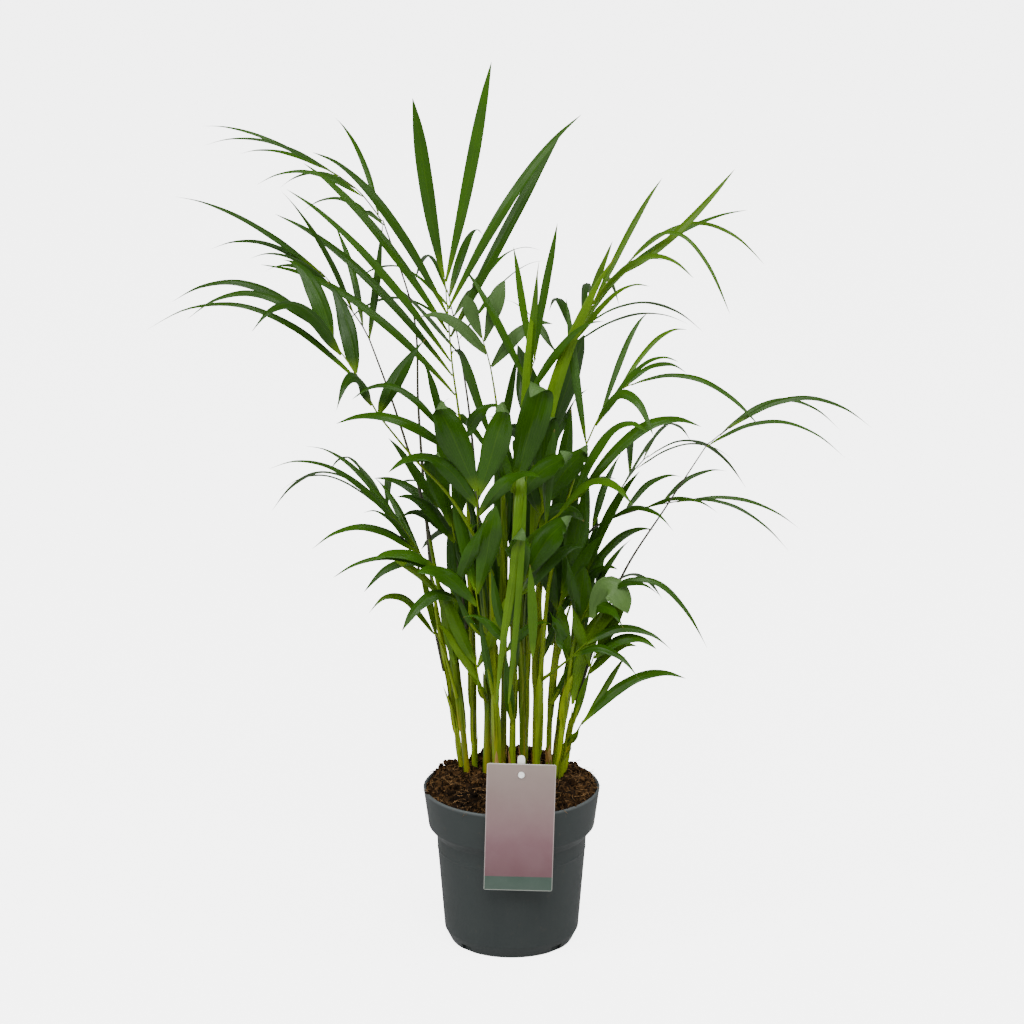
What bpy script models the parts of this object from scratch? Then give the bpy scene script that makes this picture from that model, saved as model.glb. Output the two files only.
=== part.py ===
"""A young areca palm, a clump of seedlings in a plastic nursery pot, with a label on a stake.

The pot is turned, the soil fills it, and each seedling is a cane with its leaves. A leaf is one piece: a
four-sided midrib with a flat blade drawn out of its side for each leaflet. Leaves grow one after another, and
each blade shifts a little until it is clear of everything grown before it.
Lengths are metres, +Z is up, the label faces -Y, and the origin is under the middle of the pot.
"""

import math

import bmesh
import bpy
from mathutils import Matrix, Vector, noise
from mathutils.bvhtree import BVHTree

# ---- driving dimensions ----
MM = 0.001
GAP = 0.3 * MM

POT_HEIGHT = 110 * MM
RIM_RADIUS = 60 * MM
BAND_HEIGHT = 27 * MM
BAND_TAPER = 3.5 * MM
SHOULDER_HEIGHT = 7 * MM
SHOULDER_STEP = 5.5 * MM
BODY_TAPER = 5.5 * MM
FOOT_HEIGHT = 8 * MM
FOOT_STEP = 4 * MM
POT_WALL = 1.5 * MM
LIP_RADIUS = 0.6 * MM
POT_STEPS = 40
DRAIN_HOLES = 4
DRAIN_WIDTH = 9 * MM
DRAIN_DEPTH = 5 * MM

SOIL_BELOW_RIM = 1.5 * MM
SOIL_CROWN = 5 * MM
SOIL_HEAP = 8 * MM
SOIL_HEAP_PLACE = Vector((6, 36, 0)) * MM
SOIL_HEAP_SPREAD = 20 * MM
SOIL_LUMPS = 2.2 * MM
LUMP_SIZE = 9 * MM
SOIL_STEPS = 34
SOIL_RINGS = 7
SOCKET_DEPTH = 12 * MM
SOCKET_RISE = 25 * MM

TAG_WIDTH = 46 * MM
TAG_LENGTH = 90 * MM
TAG_THICKNESS = 0.5 * MM
TAG_CORNER = 1.2 * MM
TAG_TOP_ABOVE_RIM = 37 * MM
TAG_TILT = math.radians(1.6)
TAG_X = 6.5 * MM
HOLE_RADIUS = 2.4 * MM
HOLE_BELOW_TOP = 7.5 * MM
STAKE_WIDTH = 5 * MM
STAKE_THICKNESS = 1.5 * MM
STAKE_ABOVE_HOLE = 13 * MM
STAKE_LEAN = math.radians(10)
STUD_PROUD = 0.8 * MM

PLANT_SCALE = 1.0
PETIOLE_RADIUS = 1.1 * MM
MIDRIB_TIP_RADIUS = 0.5 * MM
BLADE_THICKNESS = 0.7 * MM
BLADE_WIDTH_SCALE = 1.0
BLADE_FOOT = 1.5 * MM
FOOT_PUSH = 4 * MM
FOOT_PUSH_SHARE = 0.06
LONG_LEAFLET = 60 * MM
LONG_STALK = 40 * MM
CLEARANCE = 0.35 * MM
TRIES = 90
TRY_STEP = 1.7 * MM

FRONT = Vector((0, -0.6, 1))
BACK = Vector((0, 0.6, 1))

# A cane: its foot on the soil, the points its middle passes, and its radii at the foot and the top, in
# millimetres. All heights in these two tables are above the rim, and a foot's is found from the soil.
STEMS = {
    "stem_01": ([(-30, 6, 0), (-38, 8, 85), (-47, 14, 125), (-55, 22, 168)], 2.3, 1.4),
    "stem_02": ([(-25, 18, 0), (-27, 20, 90), (-29, 18, 190)], 2.2, 1.4),
    "stem_03": ([(-17, 6, 0), (-16, 5, 80), (-18, 0, 152)], 2.9, 1.7),
    "stem_04": ([(-10, -7, 0), (-11, -12, 70), (-14, -20, 158)], 2.2, 1.4),
    "stem_05": ([(-6, 12, 0), (-5, 14, 90), (-6, 14, 220)], 2.4, 1.4),
    "stem_06": ([(0, -4, 0), (1, -8, 70), (0, -16, 145)], 2.6, 1.5),
    "stem_07": ([(8, 7, 0), (7, 6, 80), (8, 2, 190)], 2.5, 1.4),
    "stem_08": ([(16, 13, 0), (17, 15, 80), (20, 16, 180)], 2.4, 1.4),
    "stem_09": ([(17, -2, 0), (19, -6, 70), (24, -10, 140)], 2.3, 1.4),
    "stem_10": ([(25, 8, 0), (27, 10, 60), (36, 8, 140)], 2.2, 1.3),
    "stem_11": ([(28, -6, 0), (34, -8, 40), (40, -12, 95)], 2.0, 1.2),
    "stem_12": ([(33, 1, 0), (38, 0, 30), (45, -4, 65)], 1.9, 1.2),
    "stem_13": ([(-12, 25, 0), (-16, 32, 80), (-22, 42, 170)], 2.3, 1.4),
    "stem_14": ([(9, 24, 0), (11, 32, 80), (14, 42, 180)], 2.3, 1.4),
    "stem_15": ([(-34, 21, 0), (-42, 30, 60), (-54, 40, 130)], 2.1, 1.3),
    "stem_16": ([(29, 22, 0), (37, 32, 60), (48, 42, 125)], 2.1, 1.3),
}

# A leaf grows from its cane at a share of the cane's length, and faces the way given. Its stalk and midrib
# pass the points. Each leaflet is given as its distance back from the midrib's end, its tip, how far it
# arches above the straight line to the tip, and its half width, all in millimetres.
FRONDS = {
    "frond_01": ("stem_02", 1.0, FRONT, [(-34, 10, 251), (-39, 4, 292), (-42, 2, 330), (-44, 0, 356)], [
        (2, (-64, -4, 474), 4, 5.6), (5, (-13, -6, 498), 3, 4.8),
        (27, (-128, -26, 443), 22, 4.0), (24, (45, -8, 464), 16, 4.2),
        (40, (-136, 12, 428), 14, 3.8), (43, (33, 26, 446), 6, 4.6),
        (60, (-144, -42, 422), 14, 3.6), (70, (-156, 30, 390), 16, 3.6), (84, (-163, -22, 368), 20, 3.6),
    ]),
    "frond_02": ("stem_15", 1.0, FRONT, [(-62, 52, 230), (-68, 60, 330), (-94, 74, 386), (-130, 86, 412)], [
        (2, (-208, 96, 436), 8, 2.4), (8, (-185, 120, 412), 8, 2.4),
        (16, (-205, 70, 428), 14, 2.4), (30, (-158, 110, 390), 12, 2.6),
        (38, (-170, 56, 404), 14, 2.8), (54, (-120, 130, 435), 10, 2.8), (62, (-138, 40, 390), 14, 2.8),
    ]),
    "frond_03": ("stem_01", 1.0, FRONT,
        [(-64, 28, 210), (-73, 30, 240), (-94, 30, 303), (-112, 28, 333), (-127, 26, 353)], [
        (2, (-221, 20, 404), 10, 3.2), (6, (-200, 40, 364), 14, 3.0),
        (16, (-170, -22, 372), 12, 3.0), (24, (-166, 70, 342), 12, 3.4),
        (36, (-150, 0, 412), 8, 3.4), (48, (-120, 78, 374), 8, 3.4), (58, (-86, 6, 390), 4, 3.6),
    ]),
    "frond_04": ("stem_04", 1.0, FRONT,
        [(-36, -34, 208), (-62, -40, 240), (-85, -44, 270), (-104, -46, 306), (-128, -50, 338)], [
        (2, (-218, -58, 352), 20, 3.4), (9, (-206, -88, 348), 22, 3.4),
        (20, (-148, -26, 372), 14, 7.5), (30, (-164, -92, 352), 26, 6.0),
        (46, (-120, -18, 356), 10, 6.6), (54, (-236, -44, 330), 34, 2.6),
        (70, (-112, -88, 288), 22, 4.4), (78, (-56, -30, 320), 6, 5.0),
    ]),
    "frond_05": ("stem_03", 1.0, FRONT, [(-26, -18, 200), (-36, -34, 235), (-44, -42, 262)], [
        (2, (-104, -60, 288), 20, 4.4), (7, (-58, -50, 310), 10, 4.6),
        (16, (-113, -70, 274), 14, 6.4), (22, (-6, -62, 282), 14, 6.6), (34, (-80, -66, 240), 12, 5.6),
    ]),
    "frond_06": ("stem_01", 0.62, FRONT, [(-54, -6, 152), (-64, -14, 174), (-72, -18, 188)], [
        (2, (-158, -50, 238), 22, 3.4), (9, (-136, -10, 242), 16, 3.6),
        (16, (-97, -50, 208), 10, 3.6), (22, (-120, -66, 198), 18, 4.6), (30, (-92, 26, 210), 8, 4.4),
    ]),
    "frond_07": ("stem_04", 0.72, FRONT, [(-26, -26, 122), (-40, -30, 152), (-52, -34, 168)], [
        (2, (-92, -52, 182), 8, 5.4), (10, (-117, -58, 166), 14, 2.8),
        (17, (-98, -26, 146), 18, 4.4), (26, (-16, -54, 204), 6, 6.4), (33, (-72, -60, 130), 14, 5.2),
    ]),
    "frond_08": ("stem_01", 0.42, FRONT, [(-46, -2, 98), (-52, -8, 112)], [
        (2, (-95, -22, 130), 20, 4.6), (5, (-62, -12, 158), 4, 4.4),
    ]),
    "frond_09": ("stem_08", 1.0, FRONT,
        [(27, 18, 250), (36, 20, 292), (48, 20, 320), (60, 20, 342), (78, 20, 360)], [
        (2, (149, 0, 350), 38, 3.6), (6, (168, 26, 360), 30, 3.0),
        (14, (146, 12, 424), -6, 5.0), (20, (157, 52, 388), 10, 3.2),
        (32, (119, -10, 356), 22, 3.6), (38, (100, 50, 410), 6, 3.8),
        (48, (66, -6, 380), 2, 5.0), (56, (102, 60, 352), 16, 3.4), (66, (90, -16, 352), 14, 3.6),
    ]),
    "frond_10": ("stem_07", 1.0, FRONT, [(8, 2, 250), (12, 0, 286), (16, -2, 300)], [
        (2, (30, 2, 390), 0, 5.0), (4, (8, 14, 372), 4, 4.4),
        (16, (17, -22, 362), 0, 4.2), (20, (-32, 6, 360), 8, 4.8), (28, (60, -22, 330), 14, 5.0),
    ]),
    "frond_11": ("stem_09", 1.0, FRONT, [(36, -14, 202), (52, -18, 252), (66, -20, 278), (80, -22, 288)], [
        (2, (164, -36, 270), 20, 3.8), (8, (114, -14, 300), 12, 3.4),
        (14, (118, -4, 320), 14, 3.4), (22, (108, -50, 310), 14, 3.6),
        (32, (90, 10, 328), 12, 3.8), (40, (92, -54, 262), 26, 5.4), (54, (36, 16, 336), 4, 4.6),
    ]),
    "frond_12": ("stem_06", 1.0, FRONT, [(8, -30, 180), (30, -36, 202), (44, -40, 216)], [
        (2, (115, -36, 272), 24, 6.2), (10, (96, -72, 266), 26, 6.4),
        (21, (78, -94, 226), 22, 5.0), (30, (28, -54, 266), 6, 6.0),
    ]),
    "frond_13": ("stem_12", 1.0, FRONT, [(70, -12, 145), (98, -18, 195), (120, -22, 236), (144, -26, 260)], [
        (2, (236, -34, 262), 22, 3.4), (10, (219, 6, 248), 24, 3.0), (21, (216, -66, 250), 22, 2.6),
    ]),
    "frond_14": ("stem_10", 1.0, FRONT, [(52, 6, 178), (84, 4, 194), (118, 0, 202)], [
        (2, (193, -8, 192), 12, 2.6), (8, (184, -26, 174), 16, 2.2),
        (18, (144, 14, 218), 8, 2.8), (30, (136, -30, 202), 10, 2.8),
        (44, (116, 40, 206), 10, 3.4), (56, (110, -30, 188), 14, 3.4), (68, (74, 30, 226), 6, 3.8),
    ]),
    "frond_15": ("stem_11", 1.0, FRONT, [(46, -16, 122), (56, -22, 140), (66, -26, 148)], [
        (2, (131, -38, 112), 26, 3.6), (8, (106, -16, 140), 12, 3.2),
        (16, (98, -48, 162), 12, 4.2), (24, (80, -4, 176), 6, 4.0),
        (30, (72, -58, 136), 12, 7.0), (36, (36, -40, 176), 4, 5.6),
    ]),
    "frond_16": ("stem_09", 0.6, FRONT, [(38, -24, 98), (50, -30, 112)], [
        (2, (106, -46, 112), 14, 4.0), (6, (92, -36, 124), 12, 4.0),
        (14, (84, -58, 96), 14, 4.2), (18, (24, -44, 140), 4, 5.4),
    ]),
    "frond_17": ("stem_12", 0.55, FRONT, [(44, -12, 42), (48, -16, 52)], [
        (2, (116, -34, 88), 16, 6.2), (4, (68, -26, 96), 2, 3.6),
    ]),
    "frond_18": ("stem_05", 1.0, FRONT, [(-12, 10, 280), (-20, 4, 314)], [
        (2, (-31, 2, 342), 0, 7.4), (5, (0, 6, 348), 4, 7.4), (14, (-60, -10, 330), 10, 5.4),
        (24, (24, -6, 320), 10, 5.2),
    ]),
    "frond_19": ("stem_03", 0.8, FRONT, [(-22, -36, 190), (-22, -48, 224)], [
        (2, (-52, -60, 286), 8, 8.6), (5, (-4, -72, 288), 8, 8.0),
        (14, (-66, -52, 242), 12, 5.6), (22, (18, -76, 240), 12, 5.4),
    ]),
    "frond_20": ("stem_06", 0.85, FRONT, [(2, -30, 186), (4, -40, 224)], [
        (2, (22, -54, 302), 2, 9.4), (5, (-14, -44, 262), 2, 5.4),
        (14, (42, -66, 246), 12, 6.0),
    ]),
    "frond_21": ("stem_04", 0.5, FRONT, [(-20, -28, 120), (-24, -36, 152)], [
        (2, (-34, -48, 218), 2, 6.6), (5, (-10, -48, 212), 4, 6.8),
        (14, (-58, -40, 174), 10, 5.0),
    ]),
    "frond_22": ("stem_06", 0.6, FRONT, [(4, -32, 126), (8, -40, 162)], [
        (2, (42, -56, 202), 12, 7.6), (5, (2, -60, 200), 4, 6.6),
        (14, (50, -34, 176), 10, 5.0),
    ]),
    "frond_23": ("stem_06", 0.4, FRONT, [(-3, -28, 90), (-4, -36, 124)], [
        (2, (8, -46, 184), 0, 5.0), (5, (-14, -46, 170), 2, 4.8),
        (12, (-32, -44, 134), 8, 4.6), (18, (26, -52, 132), 8, 4.6),
    ]),
    "frond_24": ("stem_07", 0.75, FRONT, [(14, -10, 172), (22, -16, 208)], [
        (2, (30, -22, 270), 2, 7.4), (5, (56, -20, 242), 10, 6.8), (12, (4, -16, 242), 2, 5.6),
        (20, (48, -30, 196), 10, 5.6),
    ]),
    "frond_25": ("stem_13", 1.0, BACK, [(-28, 60, 240), (-36, 80, 290), (-44, 108, 320)], [
        (2, (-62, 186, 330), 26, 4.4), (6, (-20, 180, 342), 20, 4.2),
        (16, (-110, 150, 314), 22, 4.0), (22, (20, 150, 338), 18, 4.0),
        (32, (-116, 120, 292), 22, 4.2), (40, (24, 110, 340), 14, 4.0), (50, (-96, 84, 336), 10, 4.2),
    ]),
    "frond_26": ("stem_14", 1.0, BACK, [(22, 62, 240), (36, 84, 282), (52, 104, 302)], [
        (2, (92, 168, 300), 26, 4.2), (6, (56, 186, 290), 22, 4.0),
        (14, (132, 126, 286), 22, 4.0), (20, (26, 160, 292), 18, 4.0),
        (30, (120, 92, 300), 16, 4.0), (38, (-6, 120, 310), 10, 3.8), (48, (74, 66, 342), 6, 4.0),
    ]),
    "frond_27": ("stem_16", 1.0, BACK, [(62, 56, 170), (80, 74, 196), (94, 88, 208)], [
        (2, (160, 124, 190), 24, 3.8), (6, (126, 152, 200), 20, 3.8),
        (14, (152, 76, 208), 16, 3.6), (22, (84, 148, 190), 18, 4.0), (32, (110, 50, 242), 8, 4.0),
    ]),
    "frond_28": ("stem_15", 0.6, BACK, [(-64, 50, 140), (-84, 66, 170), (-98, 78, 184)], [
        (2, (-164, 112, 174), 24, 3.8), (6, (-128, 144, 180), 20, 3.8),
        (14, (-158, 62, 190), 18, 3.6), (22, (-86, 138, 166), 18, 4.0), (32, (-110, 40, 220), 8, 4.0),
    ]),
    "frond_29": ("stem_13", 0.6, BACK, [(-24, 56, 150), (-28, 74, 176)], [
        (2, (-52, 140, 190), 18, 5.0), (5, (-6, 136, 196), 18, 5.0), (14, (-80, 100, 184), 14, 4.6),
        (20, (-62, 70, 146), 10, 4.4),
    ]),
    "frond_30": ("stem_14", 0.62, BACK, [(14, 54, 152), (20, 72, 180)], [
        (2, (44, 136, 178), 20, 5.6), (5, (4, 128, 212), 10, 5.4), (14, (72, 92, 190), 12, 4.8),
        (20, (52, 58, 146), 10, 4.6),
    ]),
    "frond_31": ("stem_16", 0.55, BACK, [(48, 50, 96), (60, 62, 114)], [
        (2, (104, 104, 104), 20, 4.6), (5, (66, 116, 128), 14, 4.6),
    ]),
    "frond_32": ("stem_08", 0.7, BACK, [(18, 30, 190), (22, 36, 232)], [
        (2, (36, 44, 306), 2, 7.0), (5, (4, 58, 294), 4, 7.0),
        (14, (52, 70, 260), 10, 5.2), (22, (-16, 66, 242), 10, 5.0),
    ]),
    "frond_33": ("stem_05", 0.72, BACK, [(-8, 26, 200), (-12, 32, 234)], [
        (2, (-34, 50, 300), 4, 7.0), (5, (4, 30, 294), 0, 5.0),
        (14, (-50, 24, 260), 10, 4.8),
    ]),
    "frond_34": ("stem_02", 0.6, FRONT, [(-38, 22, 158), (-46, 22, 190)], [
        (2, (-82, 10, 242), 4, 5.0), (5, (-50, 16, 260), 2, 5.4), (14, (-92, 40, 208), 10, 4.6),
        (22, (-74, 0, 190), 10, 4.4),
    ]),
    "frond_35": ("stem_10", 0.7, FRONT, [(38, 4, 128), (48, 2, 152)], [
        (2, (88, -6, 222), 8, 5.2), (5, (50, 2, 224), 2, 5.4), (14, (96, 24, 174), 14, 4.6),
        (22, (78, -22, 156), 10, 4.6),
    ]),
    "frond_36": ("stem_02", 0.78, FRONT, [(-36, 4, 166), (-40, -2, 186)], [
        (2, (-56, -10, 240), 4, 6.0), (6, (-30, -14, 242), 2, 5.4), (15, (-76, -6, 206), 10, 4.6),
        (22, (-20, -26, 202), 4, 4.8),
    ]),
    "frond_37": ("stem_08", 0.5, FRONT, [(28, 0, 112), (34, -6, 140)], [
        (2, (48, -12, 206), 2, 6.2), (6, (64, -20, 186), 8, 5.4), (15, (16, -16, 180), 4, 5.2),
        (22, (62, 14, 154), 10, 4.8),
    ]),
    "frond_38": ("stem_10", 0.45, FRONT, [(36, -2, 80), (42, -8, 102)], [
        (2, (58, -20, 158), 2, 5.8), (6, (78, -28, 138), 8, 5.0), (15, (32, -26, 138), 4, 5.0),
        (22, (68, 6, 114), 8, 4.6),
    ]),
    "frond_39": ("stem_03", 0.45, FRONT, [(-20, -12, 68), (-24, -20, 96)], [
        (2, (-42, -30, 156), 2, 6.0), (6, (-14, -36, 158), 2, 5.4), (15, (-50, -32, 126), 6, 4.2),
        (22, (-44, 0, 116), 6, 4.4),
    ]),
    "frond_40": ("stem_12", 0.8, FRONT, [(50, -16, 80), (56, -24, 104)], [
        (2, (70, -34, 146), 0, 6.4), (6, (96, -44, 112), 12, 4.6), (14, (46, -40, 130), 2, 4.6),
        (20, (84, -14, 104), 8, 4.4),
    ]),
}

GREEN = (0.045, 0.16, 0.012)
CANE_GREEN = (0.17, 0.27, 0.02)


# ---- scene and materials ----
def clear_scene():
    for found in list(bpy.data.objects):
        bpy.data.objects.remove(found, do_unlink=True)


def new_collection(name):
    collection = bpy.data.collections.new(name)
    bpy.context.scene.collection.children.link(collection)
    return collection


def material(name, colour, roughness):
    made = bpy.data.materials.new(name)
    made.use_nodes = True
    shader = made.node_tree.nodes["Principled BSDF"]
    shader.inputs["Base Color"].default_value = (*colour, 1)
    shader.inputs["Roughness"].default_value = roughness
    shader.inputs["Metallic"].default_value = 0
    return made


def add_object(name, data, collection, finish=None):
    made = bpy.data.objects.new(name, data)
    collection.objects.link(made)
    if finish:
        made.data.materials.append(finish)
    return made


def mesh_from(name, points, faces):
    mesh = bpy.data.meshes.new(name)
    mesh.from_pydata([tuple(p) for p in points], [], faces)
    mesh.update()
    return mesh


def applied(source):
    """The object's mesh with its modifiers applied, caps welded, as a new mesh in the object's own place."""
    bpy.context.view_layer.update()
    graph = bpy.context.evaluated_depsgraph_get()
    mesh = bpy.data.meshes.new_from_object(source.evaluated_get(graph))
    shape = bmesh.new()
    shape.from_mesh(mesh)
    bmesh.ops.remove_doubles(shape, verts=shape.verts, dist=0.00001)
    bmesh.ops.recalc_face_normals(shape, faces=shape.faces)
    shape.to_mesh(mesh)
    shape.free()
    return mesh


def turned(name, profile, steps, collection, finish):
    """A body turned about Z from a closed profile that runs down its outer side, top to bottom."""
    edges = [(i, i + 1) for i in range(len(profile) - 1)]
    mesh = bpy.data.meshes.new(name)
    mesh.from_pydata([(r, 0, z) for r, z in profile], edges, [])
    made = add_object(name, mesh, collection, finish)
    screw = made.modifiers.new("turn", "SCREW")
    screw.axis = "Z"
    screw.steps = screw.render_steps = steps
    screw.use_merge_vertices = True
    screw.merge_threshold = 0.00001
    screw.use_smooth_shade = True
    return made


def cut(target, collection):
    boolean = target.modifiers.new("cut", "BOOLEAN")
    boolean.operation = "DIFFERENCE"
    boolean.operand_type = "COLLECTION"
    boolean.collection = collection
    boolean.solver = "EXACT"


def add_cutter(name, mesh, collection):
    made = add_object(name, mesh, collection)
    made.hide_render = True
    made.display_type = "WIRE"
    return made


# ---- pot and soil ----
def outer_profile():
    """Radius and height down the pot's outer side, from the rim to the foot."""
    band_bottom = RIM_RADIUS - BAND_TAPER
    shoulder = band_bottom - SHOULDER_STEP
    body_bottom = shoulder - BODY_TAPER
    return [
        (RIM_RADIUS, POT_HEIGHT),
        (band_bottom, POT_HEIGHT - BAND_HEIGHT),
        (shoulder, POT_HEIGHT - BAND_HEIGHT - SHOULDER_HEIGHT),
        (body_bottom, FOOT_HEIGHT),
        (body_bottom - FOOT_STEP, 0),
    ]


def inner_profile(inset):
    """The outer profile moved in by inset, with the floor raised by it, from the foot up to the band."""
    (rim, top), band, shoulder, body, foot = outer_profile()
    return [
        (foot[0] - inset * 0.6, inset),
        (body[0] - inset, FOOT_HEIGHT + inset * 0.4),
        (shoulder[0] - inset, shoulder[1] + inset * 0.3),
        (band[0] - inset, band[1] + inset * 0.3),
        (rim - inset, top),
    ]


def build_pot(collection, cutters):
    outer = outer_profile()
    inner = inner_profile(POT_WALL)
    lip = [
        (inner[-1][0] + LIP_RADIUS * 0.3, POT_HEIGHT - LIP_RADIUS * 0.3),
        (RIM_RADIUS - LIP_RADIUS, POT_HEIGHT),
        (RIM_RADIUS, POT_HEIGHT - LIP_RADIUS),
    ]
    walls = [(r, z - LIP_RADIUS) if z == POT_HEIGHT else (r, z) for r, z in inner]
    profile = [(0, POT_WALL), *walls, *lip, *outer[1:], (0, 0)]
    pot = turned("pot", profile, POT_STEPS, collection, material("pot_plastic", (0.045, 0.055, 0.06), 0.55))
    pot.data = applied(pot)
    pot.modifiers.clear()
    foot_radius = outer[-1][0]
    for i in range(DRAIN_HOLES):
        shape = bmesh.new()
        bmesh.ops.create_cube(shape, size=1)
        bmesh.ops.scale(shape, vec=(DRAIN_DEPTH * 2, DRAIN_WIDTH, DRAIN_DEPTH * 2), verts=shape.verts)
        bmesh.ops.translate(shape, vec=(foot_radius + FOOT_STEP, 0, 0), verts=shape.verts)
        turn = Matrix.Rotation(math.tau * (i + 0.5) / DRAIN_HOLES, 3, "Z")
        bmesh.ops.rotate(shape, matrix=turn, verts=shape.verts)
        mesh = bpy.data.meshes.new("drain_cutter")
        shape.to_mesh(mesh)
        shape.free()
        add_cutter(f"drain_cutter_{i + 1}", mesh, cutters)
    cut(pot, cutters)
    pot.data.shade_smooth()
    pot.data.set_sharp_from_angle(angle=math.radians(30))
    return pot


def soil_height(x, y):
    """Height of the soil's surface: a low mound with lumps, heaped up behind the canes."""
    inside = RIM_RADIUS - POT_WALL - GAP
    out = min(1.0, math.hypot(x, y) / inside)
    place = Vector((x, y, 0))
    heap = SOIL_HEAP * math.exp(-((place - SOIL_HEAP_PLACE).length / SOIL_HEAP_SPREAD) ** 2)
    loose = noise.noise(place / LUMP_SIZE) * SOIL_LUMPS + heap
    return POT_HEIGHT - SOIL_BELOW_RIM + SOIL_CROWN * (1 - out**4) + loose * (1 - out**6)


def build_soil(collection, cutters):
    sides = inner_profile(POT_WALL + GAP)
    edge_height = POT_HEIGHT - SOIL_BELOW_RIM
    (low_r, low_z), (top_r, top_z) = sides[-2], sides[-1]
    edge_radius = low_r + (top_r - low_r) * (edge_height - low_z) / (top_z - low_z)
    mound = [(edge_radius * i / SOIL_RINGS, edge_height) for i in range(SOIL_RINGS)]
    profile = [*mound, (edge_radius, edge_height), *reversed(sides[:-1]), (0, sides[0][1])]
    soil = turned("soil", profile, SOIL_STEPS, collection, material("soil_peat", (0.07, 0.03, 0.012), 0.95))
    soil.data = applied(soil)
    soil.modifiers.clear()
    for vertex in soil.data.vertices:
        x, y, z = vertex.co
        if abs(z - edge_height) < GAP and math.hypot(x, y) < edge_radius - GAP:
            vertex.co.z = soil_height(x, y)
    cut(soil, cutters)
    return soil


def socket_cutter(name, foot, along, radius, cutters):
    """A round hole in the soil for a piece that stands in it."""
    shape = bmesh.new()
    depth = SOCKET_DEPTH + SOCKET_RISE
    bmesh.ops.create_cone(
        shape, cap_ends=True, segments=8, radius1=radius, radius2=radius, depth=depth,
        matrix=Matrix.Translation((0, 0, depth / 2 - GAP)),
    )
    turn = Vector((0, 0, 1)).rotation_difference(along).to_matrix().to_4x4()
    bmesh.ops.transform(shape, matrix=Matrix.Translation(foot) @ turn, verts=shape.verts)
    mesh = bpy.data.meshes.new(name)
    shape.to_mesh(mesh)
    shape.free()
    add_cutter(name, mesh, cutters)


# ---- label and stake ----
def rounded_outline(width, length, corner, steps=4):
    points = []
    for cx, cy, start in ((1, 1, 0), (-1, 1, 90), (-1, -1, 180), (1, -1, 270)):
        for i in range(steps + 1):
            angle = math.radians(start + 90 * i / steps)
            x = cx * (width / 2 - corner) + corner * math.cos(angle)
            points.append((x, cy * (length / 2 - corner) + corner * math.sin(angle)))
    return points


def plate(name, outlines, thickness, collection, finish):
    """A flat plate in the XY plane. The outlines after the first are holes in it."""
    curve = bpy.data.curves.new(name, "CURVE")
    curve.dimensions = "2D"
    curve.fill_mode = "BOTH"
    curve.extrude = thickness / 2
    for outline in outlines:
        spline = curve.splines.new("POLY")
        spline.points.add(len(outline) - 1)
        for point, (x, y) in zip(spline.points, outline):
            point.co = (x, y, 0, 1)
        spline.use_cyclic_u = True
    source = add_object(name, curve, collection)
    mesh = applied(source)
    bpy.data.objects.remove(source)
    bpy.data.curves.remove(curve)
    return add_object(name, mesh, collection, finish)


def circle(x, y, radius, steps=16):
    turns = [math.tau * i / steps for i in range(steps)]
    return [(x + radius * math.cos(a), y + radius * math.sin(a)) for a in turns]


def build_label(collection, cutters):
    """The card hangs flat against the rim on a stud of the stake, which leans out over it from the soil."""
    upright = Matrix.Rotation(math.radians(90), 4, "X")
    tag_y = -(RIM_RADIUS + GAP + TAG_THICKNESS / 2)
    hole_z = POT_HEIGHT + TAG_TOP_ABOVE_RIM - HOLE_BELOW_TOP
    outline = rounded_outline(TAG_WIDTH, TAG_LENGTH, TAG_CORNER)
    outline = [(x, y - TAG_LENGTH / 2 + HOLE_BELOW_TOP) for x, y in outline]
    card = material("tag_card", (0.35, 0.28, 0.28), 0.45)
    tag = plate("tag", [outline, circle(0, 0, HOLE_RADIUS)], TAG_THICKNESS, collection, card)
    tilt = Matrix.Rotation(TAG_TILT, 4, "Y")
    tag.matrix_world = Matrix.Translation((TAG_X, tag_y, hole_z)) @ tilt @ upright

    stud_radius = HOLE_RADIUS - GAP
    stake_front = tag_y + TAG_THICKNESS / 2 + GAP
    stake_y = stake_front + STAKE_THICKNESS / 2 + STAKE_ABOVE_HOLE * math.tan(STAKE_LEAN)
    foot_z = POT_HEIGHT - SOIL_BELOW_RIM - SOCKET_DEPTH
    length = (hole_z + STAKE_ABOVE_HOLE - foot_z) / math.cos(STAKE_LEAN)
    below_hole = length - STAKE_ABOVE_HOLE / math.cos(STAKE_LEAN)
    outline = rounded_outline(STAKE_WIDTH, length, STAKE_WIDTH / 2 - 0.01 * MM)
    outline = [(x, y + length / 2 - below_hole) for x, y in outline]
    white = material("stake_plastic", (0.85, 0.85, 0.82), 0.4)
    stake = plate("tag_stake", [outline], STAKE_THICKNESS, collection, white)
    lean = Matrix.Rotation(STAKE_LEAN, 4, "X")
    stake.matrix_world = Matrix.Translation((TAG_X, stake_y, hole_z)) @ lean @ upright

    shape = bmesh.new()
    stud_length = stake_y - tag_y + TAG_THICKNESS / 2 + STUD_PROUD
    bmesh.ops.create_cone(
        shape, cap_ends=True, segments=16, radius1=stud_radius, radius2=stud_radius, depth=stud_length,
        matrix=Matrix.Translation((TAG_X, stake_y - stud_length / 2, hole_z)) @ upright,
    )
    mesh = bpy.data.meshes.new("stake_stud")
    shape.to_mesh(mesh)
    shape.free()
    stud = add_cutter("stake_stud", mesh, new_collection("joined"))
    union = stake.modifiers.new("stud", "BOOLEAN")
    union.operation = "UNION"
    union.object = stud
    union.solver = "EXACT"

    along = Vector((0, -math.sin(STAKE_LEAN), math.cos(STAKE_LEAN)))
    foot = Vector((TAG_X, stake_y, hole_z)) - along * below_hole
    socket_cutter("stake_socket", foot, along, STAKE_WIDTH / 2 + 2 * GAP, cutters)
    return [tag, stake]


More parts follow.
